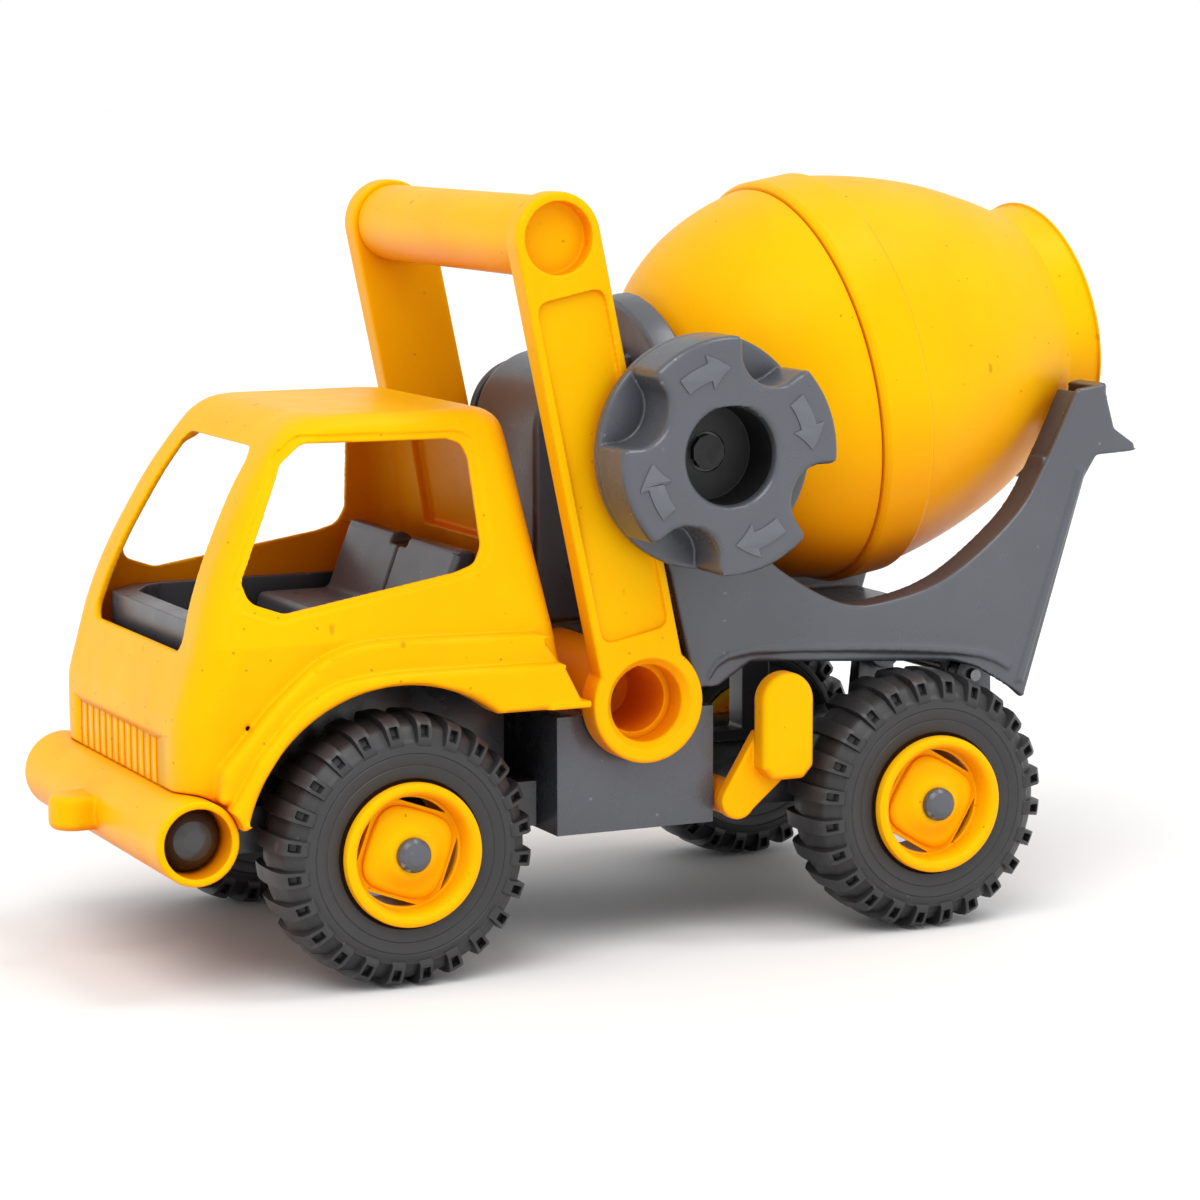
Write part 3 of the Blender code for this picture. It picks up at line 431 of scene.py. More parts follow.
def block(low, high, matrix=None):
    bm = bmesh.new()
    bmesh.ops.create_cube(bm, size=1)
    low, high = Vector(low) * MM, Vector(high) * MM
    size = high - low
    for vert in bm.verts:
        vert.co = Vector((vert.co.x * size.x, vert.co.y * size.y, vert.co.z * size.z)) + (low + high) / 2
    return finish("block", bm, matrix)


def rod(start, end, radius, end_radius=None, segments=64, matrix=None):
    start, end = Vector(start) * MM, Vector(end) * MM
    along = end - start
    bm = bmesh.new()
    bmesh.ops.create_cone(bm, cap_ends=True, segments=segments, radius1=radius * MM,
                          radius2=(radius if end_radius is None else end_radius) * MM, depth=along.length)
    turn = along.to_track_quat("Z", "Y").to_matrix().to_4x4()
    bmesh.ops.transform(bm, matrix=Matrix.Translation((start + end) / 2) @ turn, verts=bm.verts)
    return finish("rod", bm, matrix)


PLANES = {
    "XY": Matrix(),
    "XZ": Matrix.Rotation(math.pi / 2, 4, "X"),
    "YZ": Matrix(((0, 0, 1, 0), (1, 0, 0, 0), (0, 1, 0, 0), (0, 0, 0, 1))),
}


def plate(outline, low, high, plane="XZ", matrix=None, holes=()):
    """A flat outline with holes, extruded across its plane from low to high."""
    curve = bpy.data.curves.new("plate", "CURVE")
    curve.dimensions = "2D"
    curve.fill_mode = "BOTH"
    curve.extrude = (high - low) / 2 * MM
    for loop in (outline, *holes):
        spline = curve.splines.new("POLY")
        spline.points.add(len(loop) - 1)
        for point, (across, up) in zip(spline.points, loop):
            point.co = (across * MM, up * MM, 0, 1)
        spline.use_cyclic_u = True
    guide = bpy.data.objects.new("plate_outline", curve)
    CUTTERS.objects.link(guide)
    middle = (low + high) / 2 * MM * (-1 if plane == "XZ" else 1)
    guide.matrix_world = PLANES[plane] @ Matrix.Translation((0, 0, middle))
    bpy.context.view_layer.update()
    mesh = bpy.data.meshes.new_from_object(guide.evaluated_get(bpy.context.evaluated_depsgraph_get()))
    mesh.transform(guide.matrix_world)
    bpy.data.objects.remove(guide)
    bm = bmesh.new()
    bm.from_mesh(mesh)
    bmesh.ops.remove_doubles(bm, verts=bm.verts, dist=0.000001)
    return finish("plate", bm, matrix)


def arc(x, z, radius, start, end, count):
    """Points on a circle from one angle to another, both in degrees."""
    angles = [math.radians(start + (end - start) * i / count) for i in range(count + 1)]
    return [(x + radius * math.cos(a), z + radius * math.sin(a)) for a in angles]


def ring(x, z, radius, count=64):
    return arc(x, z, radius, 0, 360, count)[:-1]


def flowing(points, count=6):
    """A smooth curve through the points, as a chain with count steps between each two."""
    padded = [points[0]] + list(points) + [points[-1]]
    chain = []
    for before, start, end, after in zip(padded, padded[1:], padded[2:], padded[3:]):
        for i in range(count):
            t = i / count
            chain.append(tuple(0.5 * (2 * b + (c - a) * t + (2 * a - 5 * b + 4 * c - d) * t * t
                                      + (3 * b - a - 3 * c + d) * t ** 3)
                               for a, b, c, d in zip(before, start, end, after)))
    return chain + [points[-1]]


def rounded(points, radius, closed=True, steps=4):
    """The outline with its corners rounded, as far as the sides beside them allow."""
    result = []
    count = len(points)
    for i, point in enumerate(points):
        here = Vector(point)
        if not closed and i in (0, count - 1):
            result.append(tuple(here))
            continue
        before = Vector(points[i - 1]) - here
        after = Vector(points[(i + 1) % count]) - here
        turn = math.pi - before.angle(after)
        if turn < math.radians(14):
            result.append(tuple(here))
            continue
        trim = min(radius * math.tan(turn / 2), 0.45 * before.length, 0.45 * after.length)
        start, end = here + before.normalized() * trim, here + after.normalized() * trim
        for k in range(steps + 1):
            t = k / steps
            result.append(tuple(start * (1 - t) ** 2 + here * 2 * t * (1 - t) + end * t * t))
    return result


def wheel_like(name, angles, section, matrix=None, closed=True):
    """A ring of sections about local Z; section(angle) gives (radius, height) points in order."""
    bm = bmesh.new()
    columns = []
    poles = {}
    for angle in angles:
        column = []
        for k, (radius, height) in enumerate(section(angle)):
            if radius < 1e-6:
                if k not in poles:
                    poles[k] = bm.verts.new((0, 0, height * MM))
                column.append(poles[k])
            else:
                column.append(bm.verts.new((radius * math.cos(angle) * MM, radius * math.sin(angle) * MM,
                                            height * MM)))
        columns.append(column)
    for i, column in enumerate(columns):
        following = columns[(i + 1) % len(columns)]
        size = len(column)
        for k in range(size if closed else size - 1):
            j = (k + 1) % size
            corners = []
            for vert in (column[k], column[j], following[j], following[k]):
                if vert not in corners:
                    corners.append(vert)
            if len(corners) > 2:
                bm.faces.new(corners)
    return finish(name, bm, matrix)


def turned(profile, matrix=None, soft=0.8, steps=96, closed=True):
    """A body of revolution about local Z, from (radius, height) points with soft corners."""
    profile = rounded(profile, soft, closed)
    angles = [2 * math.pi * i / steps for i in range(steps)]
    return wheel_like("turned", angles, lambda angle: profile, matrix, closed)


def axis_frame(x, y, z, side):
    """Frame whose local Z points out of the truck on one side: -1 is left, 1 is right."""
    return Matrix.Translation(Vector((x, y, z)) * MM) @ Matrix.Rotation(-side * math.pi / 2, 4, "X")


def span(side, first, second):
    return sorted((side * first, side * second))


def softened(node, width, segments=2, angle=25):
    """A copy of a CAD node whose edges are rounded as a mould leaves them."""
    bm = bmesh.new()
    bm.from_mesh(frame["nodes"][node].data)
    bmesh.ops.remove_doubles(bm, verts=bm.verts, dist=0.000005)
    bmesh.ops.dissolve_limit(bm, angle_limit=math.radians(2), verts=bm.verts, edges=bm.edges)
    mesh = bpy.data.meshes.new(node)
    bm.to_mesh(mesh)
    bm.free()
    piece = bpy.data.objects.new(node, mesh)
    CUTTERS.objects.link(piece)
    modifier = piece.modifiers.new("edges", "BEVEL")
    modifier.width = width * MM
    modifier.segments = segments
    modifier.limit_method = "ANGLE"
    modifier.angle_limit = math.radians(angle)
    modifier.use_clamp_overlap = True
    return settle(piece)


# ---------------------------------------------------------------- cab

CAB_FRONT = [(40, 0), (80, 0), (90, 2.0), (104, 6.2), (115, 9.4), (125, 13.2), (135, 17.9), (150, 26.0),
             (162, 34.2), (176, 44.7)]


def cab_section(height):
    """Front, rear and half width of the cab's outside at one height."""
    chain = flowing(CAB_FRONT, 4)
    for (low, low_x), (high, high_x) in zip(chain, chain[1:]):
        if low <= height <= high:
            front = CAB_FRONT_X + low_x + (high_x - low_x) * (height - low) / (high - low)
    rear = 55.6 - (height - BELT_Z) * (0.168 if height > BELT_Z else 0.226)
    half = 62 + (height - 50) * 0.052 if height < BELT_Z else 64.9 - (height - BELT_Z) * 0.226
    return front, rear, half


def cab_ring(height, inset, radius):
    front, rear, half = cab_section(height)
    front, rear, half = front + inset, rear - inset, half - inset
    corners = ((rear - 8, half - 8, 8, 0), (front + radius, half - radius, radius, 90),
               (front + radius, -half + radius, radius, 180), (rear - 8, -half + 8, 8, 270))
    return [point for x, y, r, start in corners for point in arc(x, y, r, start, start + 90, 12)]


def cab_solid(inset, bottom):
    """A solid lofted through rounded rectangles, inset all round by one wall for the inside."""
    levels = [(bottom, 0, 14), (70, 0, 14), (80, 0, 14)]
    levels += [(84 + 4.4 * i, 0, 14 - i * 0.11) for i in range(19)]
    levels += [(167, 0.15, 12), (169, 0.6, 12), (170.6, 1.5, 11.6), (171.9, 2.8, 11.2), (172.6, 4.2, 10.8),
               (ROOF_Z, 6, 10)]
    bm = bmesh.new()
    rings = []
    for height, shrink, radius in levels:
        drop = inset if height > 160 else 0
        rings.append([bm.verts.new(Vector((x, y, height - drop)) * MM)
                      for x, y in cab_ring(height, shrink + inset, radius)])
    for lower, upper in zip(rings, rings[1:]):
        for i in range(len(lower)):
            j = (i + 1) % len(lower)
            bm.faces.new((lower[i], lower[j], upper[j], upper[i]))
    bm.faces.new(rings[-1])
    bm.faces.new(rings[0][::-1])
    return finish("cab_solid", bm)


def back_panel_frame():
    """Frame on the rear wall's outside: local X points out of the wall."""
    _, rear, _ = cab_section(147)
    return Matrix.Translation(Vector((rear, 0, 147)) * MM) @ Matrix.Rotation(-math.atan(0.168), 4, "Y")


def bumper_clearance():
    """What the cab leaves free around the bumper's tube."""
    return rod((BUMPER_X, -BEYOND_Y, BUMPER_Z), (BUMPER_X, BEYOND_Y, BUMPER_Z), BUMPER_RADIUS + 0.3)


def fenders():
    """On each side, the raised wheel arch, the softer crease above it and the lip at its rear."""
    arch = arc(0, TYRE_RADIUS, ARCH_RADIUS, 168, 51.5, 48)
    lower = [(61.1, SKIRT_Z), (53.5, 96)] + flowing([(0, 96.6), (-18, 94.8), (-32, 88), (-46, 73)])
    lower += [(-59.5, 50)]
    upper = [(57, 91), (47.5, 105.2)] + flowing([(1.2, 106.2), (-14, 105), (-26, 100), (-40, 88)])
    upper += [(-56, 70), (-57, 60), (-53, 59.5)] + flowing([(-43, 71), (-30, 85), (-17, 91.5), (0, 93)])
    lip = [(62.6, SKIRT_Z), (62.2, SKIRT_Z + 2.2), (52, SKIRT_Z + 2.2), (47.5, SKIRT_Z)]
    parts = []
    for _, side in SIDES:
        parts.append(bevel(plate(rounded(upper, 3), *span(side, 60.7, 69.5)), 2.6, 5, 50))
        parts.append(bevel(plate(rounded(lower + arch, 2), *span(side, 59.5, 73.3)), 2.2, 5, 50))
        parts.append(plate(lip, *span(side, 58, 73.9)))
    for part in parts:
        cut(part, bumper_clearance())
    return parts


def cab():
    shell = cut(cab_solid(0, 50), cab_solid(CAB_WALL, 40),
                block((-47, -80, 40), (70, 80, SKIRT_Z + 1)),
                plate(arc(0, TYRE_RADIUS, ARCH_RADIUS + 1.5, -5, 185, 60), -BEYOND_Y, BEYOND_Y))
    window = [(-22.4, 164.9), (-29.5, 158.9), (-45.8, 125), (-44.3, 119), (-33.5, 115.2), (22.5, 124.2),
              (29.5, 126.3), (32.1, 131.5), (30.6, 158), (28.8, 162.7), (24.5, 164.3)]
    screen = [(-40.5, 102.5), (40.5, 102.5), (42.8, 106), (31.5, 158.5), (28, 162.5), (-28, 162.5),
              (-31.5, 158.5), (-42.8, 106)]
    middle_x, middle_z = -6, 140
    border = [(middle_x + (x - middle_x) * 1.09, middle_z + (z - middle_z) * 1.11) for x, z in window]
    sunk = cut(plate(rounded(border, 6), -BEYOND_Y, BEYOND_Y), cab_solid(0.6, 45))
    cut(shell, sunk, plate(rounded(window, 5), -BEYOND_Y, BEYOND_Y),
        plate(rounded(screen, 5), -90, 0, plane="YZ"))
    back = back_panel_frame()
    cut(shell, block((-5, -29, -18), (0.8, 29, 18), back))
    bulge = cut(bevel(block((-1.5, -32, -21), (3, 32, 21), back), 2.2),
                block((-5, -29, -18), (0.8, 29, 18), back))
    cut(shell, bumper_clearance())
    slots = [bevel(block((CAB_FRONT_X - 3, y - 0.8, 59), (CAB_FRONT_X + 0.9, y + 0.8, 76.5)), 0.5, 2)
             for y in [(number - 6) * 6.3 for number in range(13)]]
    piece = cut(mould(merge(shell, bulge, *fenders()), 0.45, 8, 0.2), merge(*slots))
    return dress(piece, "cab_body", YELLOW, "chassis", "yellow_plastic", "cab_shell")


def cabin():
    """The gray tub with its dashboard shelf, and the bench with a notched back."""
    half = [(-54, -44), (-44, -56.5), (-36, -58), (49, -58)]
    tub = plate(rounded(half + [(x, -y) for x, y in reversed(half)], 3), 92, 110.5, "XY")
    half = [(-46, -40), (-39, -52), (-33, -55.5), (46.5, -55.5)]
    hollow = bevel(plate(rounded(half + [(x, -y) for x, y in reversed(half)], 3), 94.5, 114, "XY"), 1.2)
    cut(tub, hollow)
    for y in (-40, -20, 20, 40):
        join(tub, block((-33, y - 0.8, 94), (-6, y + 0.8, 95.2)))
    dress(mould(tub, 0.5, 5, 0.3), "cabin_tub", GRAY, "chassis", "gray_plastic", "cab_tub")
    outline = [(-6, 94.8), (35, 94.8), (36.5, 126.6), (33.5, 129), (29.5, 129), (21, 107), (-3, 107)]
    bench = bevel(plate(rounded(outline, 2.5), -46, 46), 1.8, 4, 50)
    cut(bench, bevel(block((10, -7, 125.5), (45, 7, 133)), 0.8), block((20, -0.6, 108), (40, 0.6, 127)))
    dress(mould(bench, 0.5, 6, 0.3), "cabin_bench", GRAY, "chassis", "gray_plastic", "bench_seat")


# ---------------------------------------------------------------- bumper, handle and chassis

def bumper():
    half = BUMPER_END_Y
    tube = rod((BUMPER_X, -half, BUMPER_Z), (BUMPER_X, half, BUMPER_Z), BUMPER_RADIUS)
    tip = -89.3
    nose = bevel(rod((tip + 8, 0, 43), (tip + 8, 0, 54), 8), 2.4, 4, 50)
    lug = bevel(block((tip + 5.6, -8, 43), (-66, 8, 54)), 2.4, 4, 50)
    bracket = block((-60, -28, 40), (-50.3, 28, 58))
    for _, side in SIDES:
        cut(tube, rod((BUMPER_X, side * 50, BUMPER_Z), (BUMPER_X, side * 75, BUMPER_Z), 10.6))
    dress(mould(merge(tube, nose, lug, bracket), 0.45, 7, 0.3), "bumper_tube", YELLOW, "chassis",
          "yellow_plastic", "front_bumper")
    for label, side in SIDES:
        dome = [(0, 63.5), (3, 63.3), (6, 62.3), (8.4, 60.4), (9.6, 58.2), (10.2, 57.4), (10.2, 52.4),
                (0, 52.4)]
        lamp = turned(dome, axis_frame(BUMPER_X, 0, BUMPER_Z, side), 0.5, 64, closed=False)
        dress(lamp, "lamp_dome_" + label, LAMP, "chassis", "gray_plastic", "headlamp_" + label, sharp=40)


def handle():
    """Two arms with sunk faces between raised rims, and the two tubes between them."""
    along = Vector((GRIP_X - BOSS_X, GRIP_Z - BOSS_Z))
    lean = math.degrees(math.atan2(along.y, along.x))
    unit = along.normalized()
    across = Vector((unit.y, -unit.x)) * 11.4
    low_end = Vector((BOSS_X, BOSS_Z)) + unit * 22.5
    high_end = Vector((GRIP_X, GRIP_Z)) - unit * 18
    stadium = arc(GRIP_X, GRIP_Z, 14.2, lean - 90, lean + 90, 48)
    stadium += arc(BOSS_X, BOSS_Z, 14.2, lean + 90, lean + 270, 36)
    face = rounded([tuple(low_end + across), tuple(high_end + across), tuple(high_end - across),
                    tuple(low_end - across)], 4)
    for label, side in SIDES:
        arm = bevel(plate(stadium, *span(side, ARM_INNER_Y, ARM_OUTER_Y)), 1.0, 3, 50)
        boss = rod((BOSS_X, side * 60.6, BOSS_Z), (BOSS_X, side * ARM_OUTER_Y, BOSS_Z), 18.8, segments=80)
        join(arm, bevel(boss, 1.2, 4, 50))
        cut(arm, rod((BOSS_X, side * 55, BOSS_Z), (BOSS_X, side * 80, BOSS_Z), 12.2),
            rod((BOSS_X, side * (ARM_OUTER_Y - 2.6), BOSS_Z), (BOSS_X, side * (ARM_OUTER_Y + 1), BOSS_Z),
                12.2, 15.4),
            rod((GRIP_X, side * (ARM_OUTER_Y - 6.5), GRIP_Z), (GRIP_X, side * 80, GRIP_Z), 11.2),
            plate(face, *span(side, ARM_OUTER_Y - 1.9, 80)))
        dress(mould(arm, 0.4, 6, 0.4), "handle_side_" + label, YELLOW, "chassis", "yellow_plastic",
              "handle_arm_" + label)
    grip = turned([(0, 62.7), (12.6, 62.7), (12.6, -62.7), (0, -62.7)], axis_frame(GRIP_X, 0, GRIP_Z, 1),
                  0.6, 96, closed=False)
    dress(grip, "handle_grip", YELLOW, "chassis", "yellow_plastic", "handle_grip_tube", sharp=40)
    half = reach("handle_cross_tube")[1].y
    cross = turned([(0, 34), (10.2, 34), (10.4, half), (14.5, half), (14.5, -half), (10.4, -half),
                    (10.2, -34), (0, -34)], axis_frame(BOSS_X, 0, BOSS_Z, 1), 0.5, 96, closed=False)
    dress(cross, "handle_cross", YELLOW, "chassis", "yellow_plastic", "handle_cross_tube", sharp=40)


def chassis():
    frame_piece = softened("chassis_frame", 0.9)
    dress(frame_piece, "chassis_channel", GRAY_PLAIN, "chassis", "gray_plastic", "chassis_frame", sharp=40)


# ---------------------------------------------------------------- wheels

LUGS = 24


def tyre_section(raised, pit):
    """Half a tyre's profile from the bead to the middle of the tread, on a lug or between lugs."""
    groove = [(34.0, 78.0), (34.6, 77.2), (35.4, 76.6), (36.0, 76.2), (38.0, 74.6), (38.8, 73.6),
              (39.3, 72.4), (40.0, 69.5), (40.7, 66.5), (41.3, 64)]
    lug = [(34.2, 78.6), (35.0, 78.6), (35.8, 78.4), (36.3, 78.2), (38.7, 77.3), (39.5, 76.8), (41.0, 75.0),
           (41.8, 70.5), (42, 67), (42, 64)]
    floor = {3: (36.5, 76.0), 4: (38.5, 75.0)}
    points = [(22.4, 76.6), (23.3, 77.8), (24.2, 78.0), (27, 78.5), (27.3, 78.3), (27.6, 78.5), (30.5, 78.7),
              (30.8, 78.5), (31.1, 78.7), (32.6, 78.5), (33.2, 78.1)]
    for k, (low, high) in enumerate(zip(groove, lug)):
        top = floor[k] if pit and k in floor else high
        points.append((low[0] + (top[0] - low[0]) * raised, low[1] + (top[1] - low[1]) * raised))
    return points


def tyre(label, axle, x, side):
    """A tyre with a pitted lug in the middle of each share; columns are (share, raised, pit)."""
    columns = [(0.0, 0, 0), (0.235, 0, 0), (0.27, 1, 0), (0.37, 1, 0), (0.40, 1, 1), (0.60, 1, 1),
               (0.63, 1, 0), (0.73, 1, 0), (0.765, 0, 0)]
    angles = []
    kinds = {}
    for number in range(LUGS):
        for share, raised, pit in columns:
            angle = 2 * math.pi * (number + share) / LUGS
            angles.append(angle)
            kinds[angle] = (raised, pit)

    def section(angle):
        outer = tyre_section(*kinds[angle])
        inner = [(radius, 2 * 64 - height) for radius, height in reversed(outer[:-1])]
        return outer + inner + [(21.2, 52), (20.7, 53), (20.7, 75.8), (21.4, 76.4)]

    piece = wheel_like("tyre", angles, section, axis_frame(x, 0, TYRE_RADIUS, side))
    return dress(piece, "tread_%s_%s" % (axle, label), TYRE, "wheel_%s_%s" % (axle, label), "tyre_plastic",
                 "tyre_%s_%s" % (axle, label), sharp=32)


def squircle(size, power, angle):
    return size / (abs(math.cos(angle)) ** power + abs(math.sin(angle)) ** power) ** (1 / power)


def rim(label, axle, x, side):
    """A dished rim: a rounded-square hub stands in it, with a crescent slot along each side."""
    turn = math.radians(70 if axle == "front" else 59)
    steps = 144

    def section(angle):
        hub = [(3.05, 52.6), (3.05, 79.0), (6.6, 79.0), (7.4, 78.7)]
        hub += [(squircle(size, power, angle), height) for size, power, height in
                ((8.3, 2, 78.3), (9.9, 2.2, 77.1), (11.6, 2.8, 76.3), (12.8, 3.2, 75.9), (13.3, 3.4, 75.3),
                 (13.5, 3.4, 74.4))]
        dish = [(17.0, 74.2), (17.5, 74.5), (17.8, 75.2), (18.0, 78.6), (18.5, 80.4), (19.2, 81.3),
                (20.0, 81.6), (21.2, 81.55), (21.9, 81.2), (22.2, 80.4), (22.2, 78.6), (20.5, 77.8),
                (20.3, 52.2), (17.9, 52.2), (17.9, 72.2), (17.0, 72.4), (13.0, 72.4), (5.4, 72.2), (5.4, 52.6)]
        return hub + dish

    place_at = axis_frame(x, 0, TYRE_RADIUS, side) @ Matrix.Rotation(turn, 4, "Z")
    piece = wheel_like("rim", [2 * math.pi * i / steps for i in range(steps)], section, place_at)
    for number in range(4):
        half = math.acos(14.6 / 16.9)
        outline = [point for point in arc(0, 0, 16.9, math.degrees(-half), math.degrees(half), 20)]
        crescent = plate(rounded(outline, 0.8), 66, 80, "XY",
                         place_at @ Matrix.Rotation(math.pi / 2 * number, 4, "Z"))
        cut(piece, crescent)
    return dress(piece, "dish_%s_%s" % (axle, label), YELLOW_RIM, "wheel_%s_%s" % (axle, label),
                 "yellow_plastic", "rim_%s_%s" % (axle, label), sharp=32)


def axle_end(label, axle, x, side):
    profile = [(0, 83.35), (2.6, 83.2), (4.2, 82.6), (5.2, 81.4), (5.4, 80.4), (5.4, 79.3), (3.06, 79.3),
               (3.06, 80.6), (0, 80.6)]
    cap = turned(profile, axis_frame(x, 0, TYRE_RADIUS, side), 0.3, 48, closed=False)
    dress(cap, "hub_cap_%s_%s" % (axle, label), GRAY, "chassis", "gray_plastic",
          "axle_cap_%s_%s" % (axle, label), sharp=40)


# ---------------------------------------------------------------- cradle and gear housing

PANEL_SWEEP = [(133.7, 119.2), (157.2, 106.5), (177.4, 106.9), (197.8, 113.7), (220.1, 130.6), (231.3, 146.4),
               (244.3, 172)]


def cradle():
    """Side panels with raised rims, the floor, the front wall, the bearing arm and the saddle."""
    inner = PANEL_OUTER_Y - 3
    tower = arc(CRANK_X, CRANK_Z, 19.5, 185, -5, 40)
    sweep = flowing([(124, 130)] + PANEL_SWEEP)
    rear_lip = [(254.5, 173.3), (258.8, 158.5), (267, 152.9), (266, 150.6), (252, 149.9), (247.4, 142.8)]
    lower_edge = [(224.8, 70.3), (217.5, 76.6), (209, 81.5), (198.2, 84.8), (123.8, 89.8), (112.4, 82.8)]
    outline = rounded([(103.6, 82.8), (94.8, 120)] + tower + sweep + rear_lip + lower_edge, 1.2)
    rib = flowing([(108, 85.2), (123.5, 92.6), (198.6, 87.4), (219, 80.6)], 4)
    rib += [(p[0] + 0.5, p[1] + 2.2) for p in reversed(rib)]
    post = [(224.6, 76.5), (247.6, 146), (250.2, 146), (227.2, 76.5)]
    over = flowing(PANEL_SWEEP)
    band = [(x + 0.6, z - 0.6) for x, z in over] + [(x + 2.6, z - 3.4) for x, z in reversed(over)]
    parts = []
    for _, side in SIDES:
        parts.append(bevel(plate(outline, *span(side, inner, PANEL_OUTER_Y)), 1.1, 4, 50))
        parts.append(plate(band, *span(side, 48, inner + 1.2)))
        parts.append(plate(rib, *span(side, inner + 1, PANEL_OUTER_Y + 0.9)))
        parts.append(plate([(p[0] - 3.2, p[1]) for p in post], *span(side, inner + 1, PANEL_OUTER_Y + 0.9)))
        parts.append(plate([(214.5, 91)] + arc(HINGE_X, HINGE_Z, 6.5, 180, 360, 24) + [(227.5, 91)],
                           *span(side, 24.3, 29.7)))
        near_y, far_y = span(side, 52, inner + 1)
        for x, width in ((242, 2.2), (232, 1.6)):
            parts.append(block((x, near_y, 140), (x + width, far_y, 150)))
    floor = block((104.5, -inner - 1, 90.5), (229, inner + 1, 93))
    parts.append(plate([(138, 53.4), (160, 53.4), (160, 92), (150, 92), (150, 57), (138, 57)], -5, 5))
    wall = plate([(105.4, 84.5), (97, 118.6), (100, 118.6), (108.4, 84.5)], -inner - 0.8, inner + 0.8)
    housing_low, housing_high = reach("gear_housing")
    cut(wall, block((90, housing_low.y - 0.3, housing_low.z - 0.3), (110, housing_high.y + 0.3, 120)))
    across = DRUM_FRAME @ Matrix(((0, 0, -1, 0), (1, 0, 0, 0), (0, 1, 0, 0), (0, 0, 0, 1)))
    parts += [wall, block((-7.5, 4.4, -70), (7.5, 6.1, 2), across),
              rod((0, 0, 4.3), (0, 0, 15), 9, matrix=DRUM_FRAME)]
    wing = inner + 0.5
    saddle = [(14, -wing), (34, -wing)] + arc(0, 0, 51, -48.2, 48.2, 24) + [(34, wing), (14, wing)]
    parts.append(plate(saddle + arc(0, 0, 45.4, 72, -72, 48), 153, 157.5, "XY", DRUM_FRAME))
    for part in parts:
        cut(part, rod((0, 0, 0), (0, 0, 20), 4.2, matrix=DRUM_FRAME),
            rod((HINGE_X, -31, HINGE_Z), (HINGE_X, 31, HINGE_Z), 2.1),
            rod((CRANK_X, -55, CRANK_Z), (CRANK_X, -66, CRANK_Z), 6.1),
            rod((CRANK_X, 55, CRANK_Z), (CRANK_X, 66, CRANK_Z), 6.1))
    piece = mould(merge(floor, *parts), 0.5, 5, 0.25)
    dress(piece, "cradle_body", GRAY, "cradle", "gray_plastic", "cradle_frame")


def housing():
    low, high = reach("gear_housing")
    outline = [(low.x, low.z)] + arc(CRANK_X, CRANK_Z, 23.5, 180, 0, 48) + [(122.2, low.z)]
    hollow = [(low.x + 2.5, 90)] + arc(CRANK_X, CRANK_Z, 21, 180, 0, 48) + [(119.7, 90)]
    cover = bevel(plate(outline, low.y, high.y), 1.8, 4, 50)
    cut(cover, plate(hollow, low.y + 2.5, high.y - 2.5), block((-120, -60, 3.6), (160, 60, 60), DRUM_FRAME),
        rod((CRANK_X, -20, CRANK_Z), (CRANK_X, 60, CRANK_Z), 4.0))
    dress(mould(cover, 0.5, 5, 0.3), "gear_cover", GRAY, "cradle", "gray_plastic", "gear_housing")


# ---------------------------------------------------------------- drum

def drum_radius(along):
    """Outer radius of the drum at a distance along its axis, on a smooth curve."""
    stations = flowing([(20.4, 35.4), (24.4, 40.6), (31.7, 49.0), (43, 57.2), (56.1, 62.9), (70, 66.2),
                        (86.2, 66.9), (106.9, 63.2), (127.6, 56.6), (145, 48.2), (154, 42.9), (157.5, 41.4),
                        (169.0, 41.2)], 5)
    for (start, low), (end, high) in zip(stations, stations[1:]):
        if along <= end:
            return low + (high - low) * (along - start) / (end - start)
    return stations[-1][1]


def drum():
    """Front and rear shells, which meet under the raised band."""
    wall = 2.2
    front = [20.6 + (69.3 - 20.6) * i / 24 for i in range(25)]
    outer = [(drum_radius(s), s) for s in reversed(front)]
    inner = [(drum_radius(s) - wall, max(s, 22.8)) for s in front]
    shell = turned(outer + [(34.0, 20.4), (0, 20.4), (0, 22.8)] + inner, DRUM_FRAME, 0.5, 128)
    dress(shell, "drum_front", YELLOW, "drum", "yellow_plastic", "drum_front_shell", sharp=40)
    rear = [88 + (167.6 - 88) * i / 36 for i in range(37)]
    outer = [(drum_radius(s), s) for s in reversed(rear)]
    band = [(68.0, 86.9), (68.2, 86.4), (68.2, 71.6), (67.7, 70.4), (67.0, 69.6)]
    inner = [(drum_radius(s) - wall, s) for s in [69.6] + rear]
    mouth = [(drum_radius(s) - wall, s) for s in (169.0,)] + [(41.3, 169.0), (42.2, 168.4), (42.2, 167.8)]
    shell = turned(mouth + outer + band + inner, DRUM_FRAME, 0.5, 128)
    dress(shell, "drum_rear", YELLOW, "drum", "yellow_plastic", "drum_rear_shell", sharp=40)
    crown = softened("crown_gear", 0.35, 2, 30)
    dress(crown, "crown_wheel", GRAY, "drum", "gray_plastic", "crown_gear", sharp=35)


# ---------------------------------------------------------------- crank knob

SCALLOPS = [math.radians(65 + 90 * number) for number in range(4)]
SCALLOP_AT, SCALLOP_RADIUS = 35.5, 11.3


def knob_radius(angle):
    """Radius of the grip at an angle: a circle with four scallops taken out, softly joined."""
    best = KNOB_RADIUS
    for scallop in SCALLOPS:
        sideways = SCALLOP_AT * math.sin(angle - scallop)
        if math.cos(angle - scallop) > 0 and abs(sideways) < SCALLOP_RADIUS:
            near = SCALLOP_AT * math.cos(angle - scallop) - math.sqrt(SCALLOP_RADIUS ** 2 - sideways ** 2)
            best = -math.log(math.exp(-best) + math.exp(-near))
    return best


